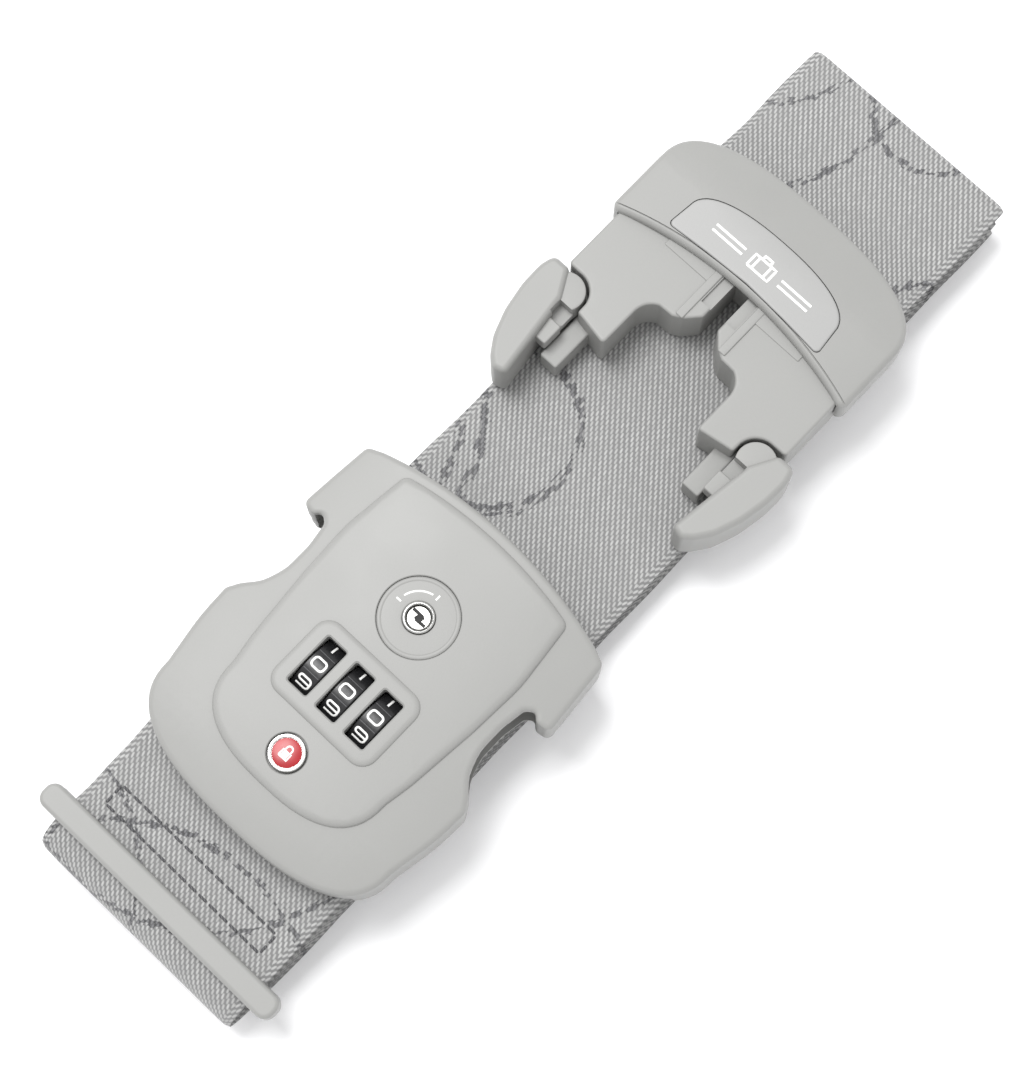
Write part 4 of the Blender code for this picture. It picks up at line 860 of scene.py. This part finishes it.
def short_steps(line, step):
    """The line's points, with its long stretches cut into short ones."""
    points = [line[0]]
    for a, b in zip(line, line[1:]):
        pieces = max(1, math.ceil(math.dist(a, b) / step))
        points += [(a[0] + (b[0] - a[0]) * i / pieces, a[1] + (b[1] - a[1]) * i / pieces)
                   for i in range(1, pieces + 1)]
    return points


def painted_lines(name, strokes, width, settle):
    """Flat raised lines: each stroke is a tube whose points settle(vector) then lays down."""
    curve = bpy.data.curves.new(name, "CURVE")
    curve.dimensions = "3D"
    curve.bevel_depth = width / 2
    curve.bevel_resolution = 2
    curve.use_fill_caps = True
    for stroke in strokes:
        spline = curve.splines.new("POLY")
        spline.points.add(len(stroke) - 1)
        for point, place in zip(spline.points, stroke):
            point.co = (*place, 1)
    drawn = bpy.data.objects.new(name, curve)
    bpy.context.scene.collection.objects.link(drawn)
    bpy.context.view_layer.update()
    mesh = bpy.data.meshes.new_from_object(
        drawn.evaluated_get(bpy.context.evaluated_depsgraph_get()))
    bpy.data.objects.remove(drawn)
    for vert in mesh.vertices:
        vert.co = settle(vert.co)
    piece = bpy.data.objects.new(name, mesh)
    bpy.context.scene.collection.objects.link(piece)
    return piece


def dial(number):
    body = f"dial_{number}_body"
    y = middle(f"dial_{number}").y
    inner, lip, wide = 3.6 * MM, 0.35 * MM, DIAL_WIDTH
    profile = [(inner, 0), (DIAL_RADIUS - lip, 0), (DIAL_RADIUS - 0.1 * MM, 0.1 * MM),
               (DIAL_RADIUS, lip), (DIAL_RADIUS, wide - lip),
               (DIAL_RADIUS - 0.1 * MM, wide - 0.1 * MM), (DIAL_RADIUS - lip, wide), (inner, wide)]
    wheel = turned(f"number_dial_{number}", profile, (DIAL.x, y + wide / 2, DIAL.z), "Y", 90)
    place_piece(wheel, body, DIAL_BLACK, (f"dial_{number}",))
    radius = DIAL_RADIUS + 0.01 * MM

    def on_rim(right, up, k):
        angle = math.radians(36 * k + 4) + up / radius
        return Vector((DIAL.x + radius * math.sin(angle), y - right,
                       DIAL.z + radius * math.cos(angle)))

    strokes, notch_highlights = [], []
    for k, lines in enumerate(DIGITS):
        for line in lines:
            drawn = rounded_stroke([(a * 1.38 * MM, b * 1.02 * MM) for a, b in line], 0.7 * MM)
            strokes.append([on_rim(right, up, k) for right, up in short_steps(drawn, 0.3 * MM)])
        # grey lines halfway between the digits: painted highlight of the notch edges, which are not
        # modelled
        edge = wide / 2 - 0.3 * MM
        notch_highlights.append([on_rim(right, 0, k + 0.5) for right in (-edge, edge)])

    def lie_flat(place):
        out = math.hypot(place.x - DIAL.x, place.z - DIAL.z)
        scale = (radius + (out - radius) * 0.25) / out
        return Vector((DIAL.x + (place.x - DIAL.x) * scale, place.y,
                       DIAL.z + (place.z - DIAL.z) * scale))

    place_piece(painted_lines(f"digits_{number}", strokes, 0.43 * MM, lie_flat), body,
                WHITE_PAINT, (), 60)
    place_piece(painted_lines(f"notch_highlight_lines_{number}", notch_highlights, 0.16 * MM, lie_flat), body,
                NOTCH_HIGHLIGHT, (), 60)


def key_and_badge():
    disc_low, disc_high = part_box("key_disc")
    r, rise = KEY_DISC_RADIUS, disc_high.z - disc_low.z
    bore = COLLAR_RADIUS + 0.1 * MM
    profile = [(bore, 0), (r, 0), (r, rise - 0.14 * MM), (r - 0.18 * MM, rise),
               (r - 0.7 * MM, rise), (r - 0.84 * MM, rise - 0.07 * MM),
               (r - 0.98 * MM, rise), (bore + 0.2 * MM, rise), (bore, rise - 0.12 * MM)]
    place_piece(turned("key_index_disc", profile, (KEY.x, KEY.y, disc_low.z), "Z", 96), "root",
                SHELL, ("key_disc",))
    face = disc_high.z
    marks = []
    for angle in (0, 90):
        out = Vector((math.cos(math.radians(angle)), math.sin(math.radians(angle)), 0))
        marks.append([Vector((KEY.x, KEY.y, face)) + out * 4.6 * MM,
                      Vector((KEY.x, KEY.y, face)) + out * 5.7 * MM])
    sweep = [math.radians(a) for a in range(12, 80, 4)]
    marks.append([Vector((KEY.x + 5.1 * MM * math.cos(a), KEY.y + 5.1 * MM * math.sin(a), face))
                  for a in sweep])

    def settle(place):
        return Vector((place.x, place.y, face + (place.z - face) * 0.2))

    place_piece(painted_lines("key_index_marks", marks, 0.34 * MM, settle), "root",
                WHITE_PAINT, (), 60)
    collar_low, collar_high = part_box("key_collar")
    r, top = COLLAR_RADIUS, PANEL_TOP + 0.25 * MM - collar_low.z
    inner = high("key_cylinder").x - KEY.x + 0.12 * MM
    profile = [(inner, 0), (r, 0), (r, top - 0.25 * MM), (r - 0.1 * MM, top - 0.08 * MM),
               (r - 0.3 * MM, top), (inner + 0.3 * MM, top), (inner + 0.06 * MM, top - 0.2 * MM),
               (inner, top - 0.45 * MM)]
    place_piece(turned("key_collar_ring", profile, (KEY.x, KEY.y, collar_low.z), "Z", 64), "root",
                NICKEL, ("key_collar",))
    core_low, core_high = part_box("key_cylinder")
    r = core_high.x - KEY.x
    tall = min(core_high.z, PANEL_TOP) - core_low.z
    core = turned("key_core", [(0, 0), (r, 0), (r, tall - 0.15 * MM), (r - 0.15 * MM, tall),
                               (0, tall)], (KEY.x, KEY.y, core_low.z), "Z", 64)
    bent = [(-2.0, 0.3), (-0.6, 0.3), (-0.75, -0.5), (-0.1, -0.9), (2.0, -0.8), (2.0, -0.2),
            (0.85, -0.2), (0.95, 0.55), (0.4, 0.95), (-2.0, 0.95)]
    outline = [(KEY.x + up * MM, KEY.y - right * MM) for right, up in bent]
    top = core_low.z + tall
    cut(core, rounded_block("keyway", outline, top - 1.4 * MM, top + 1 * MM))
    place_piece(core, "key_body", KEY_STEEL, ("key_cylinder",))
    # a black fill inside the keyway cut, 0.12 mm below its top: painted shade for the deep keyhole
    small = [(KEY.x + (x - KEY.x) * 0.995, KEY.y + (y - KEY.y) * 0.995) for x, y in outline]
    place_piece(rounded_block("keyway_shade_fill", small, top - 1.35 * MM, top - 0.12 * MM), "key_body",
                KEYWAY_SHADE)

    base = low("badge").z
    r = BADGE_RADIUS
    dome = [(0, 0), (r, 0), (r, 0.6 * MM), (r - 0.12 * MM, 0.8 * MM), (r - 0.5 * MM, 0.88 * MM),
            (r - 0.72 * MM, 0.8 * MM), (r - 0.76 * MM, 0.62 * MM), (0, 0.62 * MM)]
    place_piece(turned("badge_rim", dome, (BADGE.x, BADGE.y, base), "Z", 72), "root",
                NICKEL, ("badge",))
    r -= 0.78 * MM
    lens = [(0, 0.63 * MM), (r, 0.63 * MM), (r * 0.98, 0.74 * MM), (r * 0.8, 0.84 * MM),
            (r * 0.45, 0.9 * MM), (0, 0.92 * MM)]
    place_piece(turned("badge_enamel", lens, (BADGE.x, BADGE.y, base), "Z", 72), "root",
                RED_ENAMEL)
    # a plain padlock, standing towards the plug
    face = base + 0.86 * MM
    body_lines = [[(-0.95, -1.2), (-0.95, 0.2), (0.95, 0.2), (0.95, -1.2), (-0.95, -1.2)]]
    fill = [[(-0.7, y), (0.7, y)] for y in (-0.95, -0.65, -0.35, -0.05)]
    bow = [[(-0.62, 0.2), (-0.62, 0.75)] + arc(0, 0.75, 0.62, 180, 0, 8) + [(0.62, 0.2)]]
    strokes = [[Vector((BADGE.x + up * MM, BADGE.y - right * MM, face)) for right, up in line]
               for line in body_lines + fill + bow]

    def lay(place):
        return Vector((place.x, place.y, face + 0.03 * MM + (place.z - face) * 0.25))

    place_piece(painted_lines("badge_padlock", strokes, 0.36 * MM, lay), "root",
                WHITE_PAINT, (), 60)


# --- plug -------------------------------------------------------------------------------------
def plug_body():
    body = rounded_block("plug_frame", plug_outline(), DECK, PLUG_TOP, (0.55 * MM, 0.55 * MM),
                         (0.3 * MM, 0.3 * MM), 4)
    parts = []
    for side in (1, -1):
        parts.append(rod("ledge", HUB_RADIUS + 2 * CLEAR, HUB_FLOOR - DECK,
                         (HUB.x, side * HUB.y, DECK)))
        prong = box_outline(LEG_END - 8.6 * MM, LEG_END + 3 * MM, side * 18.7 * MM - 2.1 * MM,
                            side * 18.7 * MM + 2.1 * MM, 0.5 * MM)
        parts.append(rounded_block("prong", prong, DECK + 0.4 * MM, DECK + 6.2 * MM,
                                   (0.4 * MM, 0.4 * MM), (0.3 * MM, 0.3 * MM), 3))
        rib = box_outline(PLUG_FRONT - 11.8 * MM, PLUG_FRONT + 1 * MM, side * 5.5 * MM - 0.9 * MM,
                          side * 5.5 * MM + 0.9 * MM, 0.3 * MM)
        parts.append(rounded_block("rib", rib, PLUG_TOP - 2 * MM, PLUG_TOP + 0.35 * MM,
                                   (0.25 * MM, 0.25 * MM), (0, 0), 3))
        step = box_outline(PLUG_FRONT - 2.9 * MM, PLUG_FRONT + 1 * MM, side * 11.4 * MM - 6 * MM,
                           side * 11.4 * MM + 6 * MM, 0.3 * MM)
        parts.append(rounded_block("step", step, PLUG_TOP - 2 * MM, PLUG_TOP + 0.22 * MM,
                                   (0.2 * MM, 0.2 * MM), (0, 0), 3))
    join(body, *parts)
    hollow = []
    for side in (1, -1):
        hollow.append(rounded_block("rib_recess", box_outline(
            PLUG_FRONT - 6.6 * MM, PLUG_FRONT + 3 * MM, side * 3.0 * MM - 1.35 * MM,
            side * 3.0 * MM + 1.35 * MM, 0.2 * MM), PLUG_TOP - 0.6 * MM, PLUG_TOP + 2 * MM))
        x, y = HUB.x, side * HUB.y
        hollow.append(rod("pin_hole", 1.5 * MM, 5 * MM, (x, y, low("wing_pin_left").z - CLEAR)))
    rear = box_outline(PLUG_FRONT + 8 * MM, PLUG_FRONT + 40 * MM, -40 * MM, 40 * MM)
    hollow.append(rounded_block("rear_room", rear, PLUG_TOP - 2.6 * MM, PLUG_TOP + 5 * MM))
    slot = box_outline(PLUG_FRONT + 6 * MM, PLUG_FRONT + 40 * MM, -WEB_ROOM, WEB_ROOM)
    hollow.append(rounded_block("webbing_room", slot, DECK - 1 * MM, PLUG_BAR.z + 3.4 * MM))
    hollow.append(bar_hole("plug_webbing_bar"))
    hollow += [screw_hole(f"cover_screw_{number}", 20 * MM) for number in (1, 2)]
    for tool in hollow:
        cut(body, tool)
    crown(body, 3 * MM, DECK + 6 * MM, PLUG_TOP, lambda x, y: 0.35 * MM * (abs(y) / PLUG_SIDE) ** 2)
    place_piece(body, "root", SHELL, ("plug_body",))


def cover_drop(x, y):
    """How far the cover's top falls away towards its back and its sides."""
    back = max(0.0, (x - PLUG_FRONT - 9 * MM) / (14 * MM))
    return 2.5 * MM * back ** 1.6 + 1.3 * MM * (abs(y) / COVER_SIDE) ** 3


def plug_cover():
    cover = rounded_block("plug_cover_shell", cover_outline(), COVER_LOW, COVER_TOP,
                          (1.2 * MM, 1.4 * MM), (0.4 * MM, 0.4 * MM), 6)
    inner = PLUG_TOP + 0.5 * MM
    room = rounded_block("cover_room", cover_outline(COVER_WALL), COVER_LOW - 1 * MM, inner)
    side = PLUG_SIDE + CLEAR - 0.06 * MM
    mouth = rounded_block("cover_mouth", box_outline(
        PLUG_FRONT - 12 * MM, PLUG_FRONT + 8 * MM, -side, side),
        COVER_LOW - 1.4 * MM, inner - 0.06 * MM)
    rear = rounded_block("rear_mouth", box_outline(
        PLUG_FRONT + 12 * MM, PLUG_FRONT + COVER_LENGTH + 2 * MM, -WEB_ROOM, WEB_ROOM),
        COVER_LOW - 1.2 * MM, COVER_LOW + 3 * MM)
    groove = [(x + 1.0 * MM, y) for x, y, _ in front_edge(PLUG_FRONT, COVER_SIDE + 0.8 * MM)]
    groove = groove[::-1] + [(x, -y) for x, y in groove[1:]]
    band = groove + [(x + 0.35 * MM, y) for x, y in reversed(groove)]
    line = rounded_block("lip_groove", band, COVER_TOP - 0.4 * MM, COVER_TOP + 2 * MM)
    plate = rounded_block("nameplate_pocket", nameplate_outline(0.14 * MM), COVER_TOP - 0.8 * MM,
                          COVER_TOP + 2 * MM)
    for tool in (room, mouth, rear, line, plate):
        cut(cover, tool)
    for number in (1, 2):
        screw = middle(f"cover_screw_{number}")
        cut(cover, rod("boss_hole", SHANK_BORE, 1.4 * MM, (screw.x, screw.y, PLUG_TOP - 0.2 * MM)))
    crown(cover, 2.2 * MM, COVER_LOW, COVER_TOP, cover_drop)
    place_piece(cover, "root", SHELL, ("plug_cover",))


def nameplate():
    """A smoother plate let into the cover, with a suitcase and two plain bars instead of a name."""
    base = COVER_TOP - 0.5 * MM
    top = COVER_TOP + 0.2 * MM
    plate = rounded_block("plain_nameplate", nameplate_outline(), base, top, (0.4 * MM, 0.3 * MM),
                          (0, 0), 5)
    crown(plate, 2.2 * MM, COVER_LOW, COVER_TOP, cover_drop)
    place_piece(plate, "root", PLATE, ("nameplate",))
    case = [[(-2.6, -1.7), (-2.6, 1.1), (2.6, 1.1), (2.6, -1.7), (-2.6, -1.7)]]
    handle = [[(-0.95, 1.1), (-0.95, 2.0), (0.95, 2.0), (0.95, 1.1)]]
    straps = [[(x, -1.7), (x, 1.1)] for x in (-1.45, 1.45)]
    bars = [[(side * 4.6, y), (side * 12.2, y)] for side in (1, -1) for y in (-0.9, 0.4)]
    strokes = []
    for line in case + handle + straps + bars:
        steps = []
        for (x0, y0), (x1, y1) in zip(line, line[1:]):
            steps += [(x0 + (x1 - x0) * i / 6, y0 + (y1 - y0) * i / 6) for i in range(6)]
        strokes.append([Vector((PLUG_FRONT + 5.9 * MM + up * MM, -right * MM, top))
                        for right, up in steps + [line[-1]]])

    def lay(place):
        return Vector((place.x, place.y, top + 0.02 * MM + (place.z - top) * 0.2
                       - cover_drop(place.x, place.y)))

    place_piece(painted_lines("nameplate_print", strokes, 0.5 * MM, lay), "root",
                WHITE_PAINT, (), 60)


def wing(side, name):
    """A release wing: a thumb paddle with a full rounded outer edge, a hub and a catch finger."""
    paddle = [(3.9, 6.3, 1.6), (3.9, 2.4, 1.4), (-1.6, -0.7, 2.0), (-20.3, -3.2, 1.35),
              (-21.0, -0.4, 1.5), (-19.3, 1.7, 4.0), (-16.0, 4.0, 6.0), (-10.6, 6.0, 12.0),
              (-4.6, 7.1, 14.0), (0.9, 7.3, 8.0)]
    outline = softened([(HUB.x + x * MM, side * (HUB.y + y * MM), r * MM) for x, y, r in paddle])
    body = rounded_block(f"release_{name}", outline, DECK + 0.6 * MM, PLUG_TOP + 0.5 * MM,
                         (1.25 * MM, 1.5 * MM), (0.4 * MM, 0.4 * MM), 6)
    seat = HUB_FLOOR + CLEAR
    hub_top = PLUG_TOP - 0.45 * MM
    hub_rise = hub_top - seat
    hub = turned("hub", [(0, 0), (HUB_RADIUS, 0), (HUB_RADIUS, hub_rise - 0.4 * MM),
                         (HUB_RADIUS - 0.12 * MM, hub_rise - 0.12 * MM),
                         (HUB_RADIUS - 0.4 * MM, hub_rise), (0, hub_rise)],
                 (HUB.x, side * HUB.y, seat), "Z", 56)
    inner = HUB.y - 4.2 * MM
    finger = box_outline(LEG_END - 7.4 * MM, LEG_END - 2.6 * MM, inner, HUB.y + 1.2 * MM, 0.5 * MM)
    neck = box_outline(LEG_END - 3.4 * MM, LEG_END + 1.8 * MM, inner + 0.3 * MM, HUB.y + 0.9 * MM,
                       0.5 * MM)
    pieces = [hub]
    for outline, top in ((finger, 10.1), (neck, 8.6)):
        pieces.append(rounded_block("finger", [(x, side * y) for x, y in outline],
                                    DECK + 6.5 * MM, DECK + top * MM, (0.35 * MM, 0.35 * MM),
                                    (0.2 * MM, 0.2 * MM), 3))
    for piece in pieces:
        join(body, piece)
    step_y = side * (HUB.y - 2.9 * MM)
    step = box_outline(HUB.x - 4.9 * MM, HUB.x - 1.9 * MM, step_y - 2.3 * MM, step_y + 2.3 * MM)
    cut(body, rounded_block("hub_step", step, seat + 4.5 * MM, PLUG_TOP + 2 * MM))
    cut(body, rod("relief", HUB_RADIUS + 3 * CLEAR, seat - DECK,
                  (HUB.x, side * HUB.y, DECK)))
    room = turned("spring_room", [(0, -1 * MM), (3.1 * MM, -1 * MM), (3.1 * MM, 4.0 * MM),
                                  (1.5 * MM, 4.0 * MM), (1.5 * MM, 5.6 * MM), (0, 5.6 * MM)],
                  (HUB.x, side * HUB.y, seat - CLEAR), "Z", 40)
    cut(body, room)
    place_piece(body, f"{name}_body", SHELL, (name,))


# --- the frame's own pieces -------------------------------------------------------------------
def finish_frame():
    """Finishes for the CAD pieces that stay: shafts, springs, screws, bars and hubs."""
    finishes = {STEEL: ["dial_shaft", "lock_webbing_bar", "plug_webbing_bar", "locking_plate",
                        "wing_pin_left", "wing_pin_right", "key_cam"]
                + [f"lock_screw_{n}" for n in range(1, 5)] + [f"cover_screw_{n}" for n in (1, 2)],
                SPRING_STEEL: ["detent_spring", "reset_spring", "wing_spring_left",
                               "wing_spring_right"],
                BRASS: [f"dial_hub_{n}" for n in range(1, 4)],
                SHELL: ["reset_button"]}
    for material, nodes in finishes.items():
        for name in nodes:
            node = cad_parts[name]
            node.data.materials.clear()
            node.data.materials.append(material)


# --- floor, light and camera ------------------------------------------------------------------
def stage():
    bm = bmesh.new()
    bmesh.ops.create_grid(bm, x_segments=1, y_segments=1, size=3.0)
    bmesh.ops.translate(bm, verts=bm.verts, vec=(0, 0, -0.05 * MM))
    floor = made("pale_floor", bm, False)
    material, tree = new_material("matt_white_board")
    shader = add(tree, SHADER, {"Base Color": srgb("FCFCFD"), "Roughness": 0.9,
                                "Specular IOR Level": 0.1})
    add(tree, OUTPUT, {"Surface": shader})
    floor.data.materials.append(material)


def lamp(name, azimuth, elevation, distance, size, power):
    """A soft square lamp that faces the strap from azimuth (0 is +X, 90 is +Y)."""
    data = bpy.data.lights.new(name, "AREA")
    data.size = size
    data.energy = power
    spot = bpy.data.objects.new(name, data)
    a, e = math.radians(azimuth), math.radians(elevation)
    back = Vector((math.cos(a) * math.cos(e), math.sin(a) * math.cos(e), math.sin(e)))
    spot.location = back * distance
    spot.rotation_euler = back.to_track_quat("Z", "Y").to_euler()
    bpy.context.scene.collection.objects.link(spot)


def light_and_camera():
    world = bpy.data.worlds.new("white_studio")
    world.use_nodes = True
    background = world.node_tree.nodes["Background"]
    background.inputs["Color"].default_value = (1, 1, 1, 1)
    background.inputs["Strength"].default_value = 1.0
    bpy.context.scene.world = world
    lamp("soft_key", 86, 70, 1.2, 0.5, 11.4)
    bpy.context.scene.view_settings.view_transform = "Standard"
    data = bpy.data.cameras.new("camera")
    data.lens = 84.2
    camera = bpy.data.objects.new("camera", data)
    azimuth, elevation = math.radians(-46.6), math.radians(77)
    back = Vector((math.sin(azimuth) * math.cos(elevation),
                   -math.cos(azimuth) * math.cos(elevation), math.sin(elevation)))
    camera.location = Vector((-3.7, 1.3, 0)) * MM + back * 0.5
    camera.rotation_euler = back.to_track_quat("Z", "Y").to_euler()
    bpy.context.scene.collection.objects.link(camera)
    bpy.context.scene.camera = camera


light_and_camera()
stage()
strap, strap_length = webbing()
thread = stitching()
keeper()
lock_top()
lock_bottom()
for number in (1, 2, 3):
    dial(number)
key_and_badge()
plug_body()
plug_cover()
nameplate()
wing(1, "wing_left")
wing(-1, "wing_right")
finish_frame()
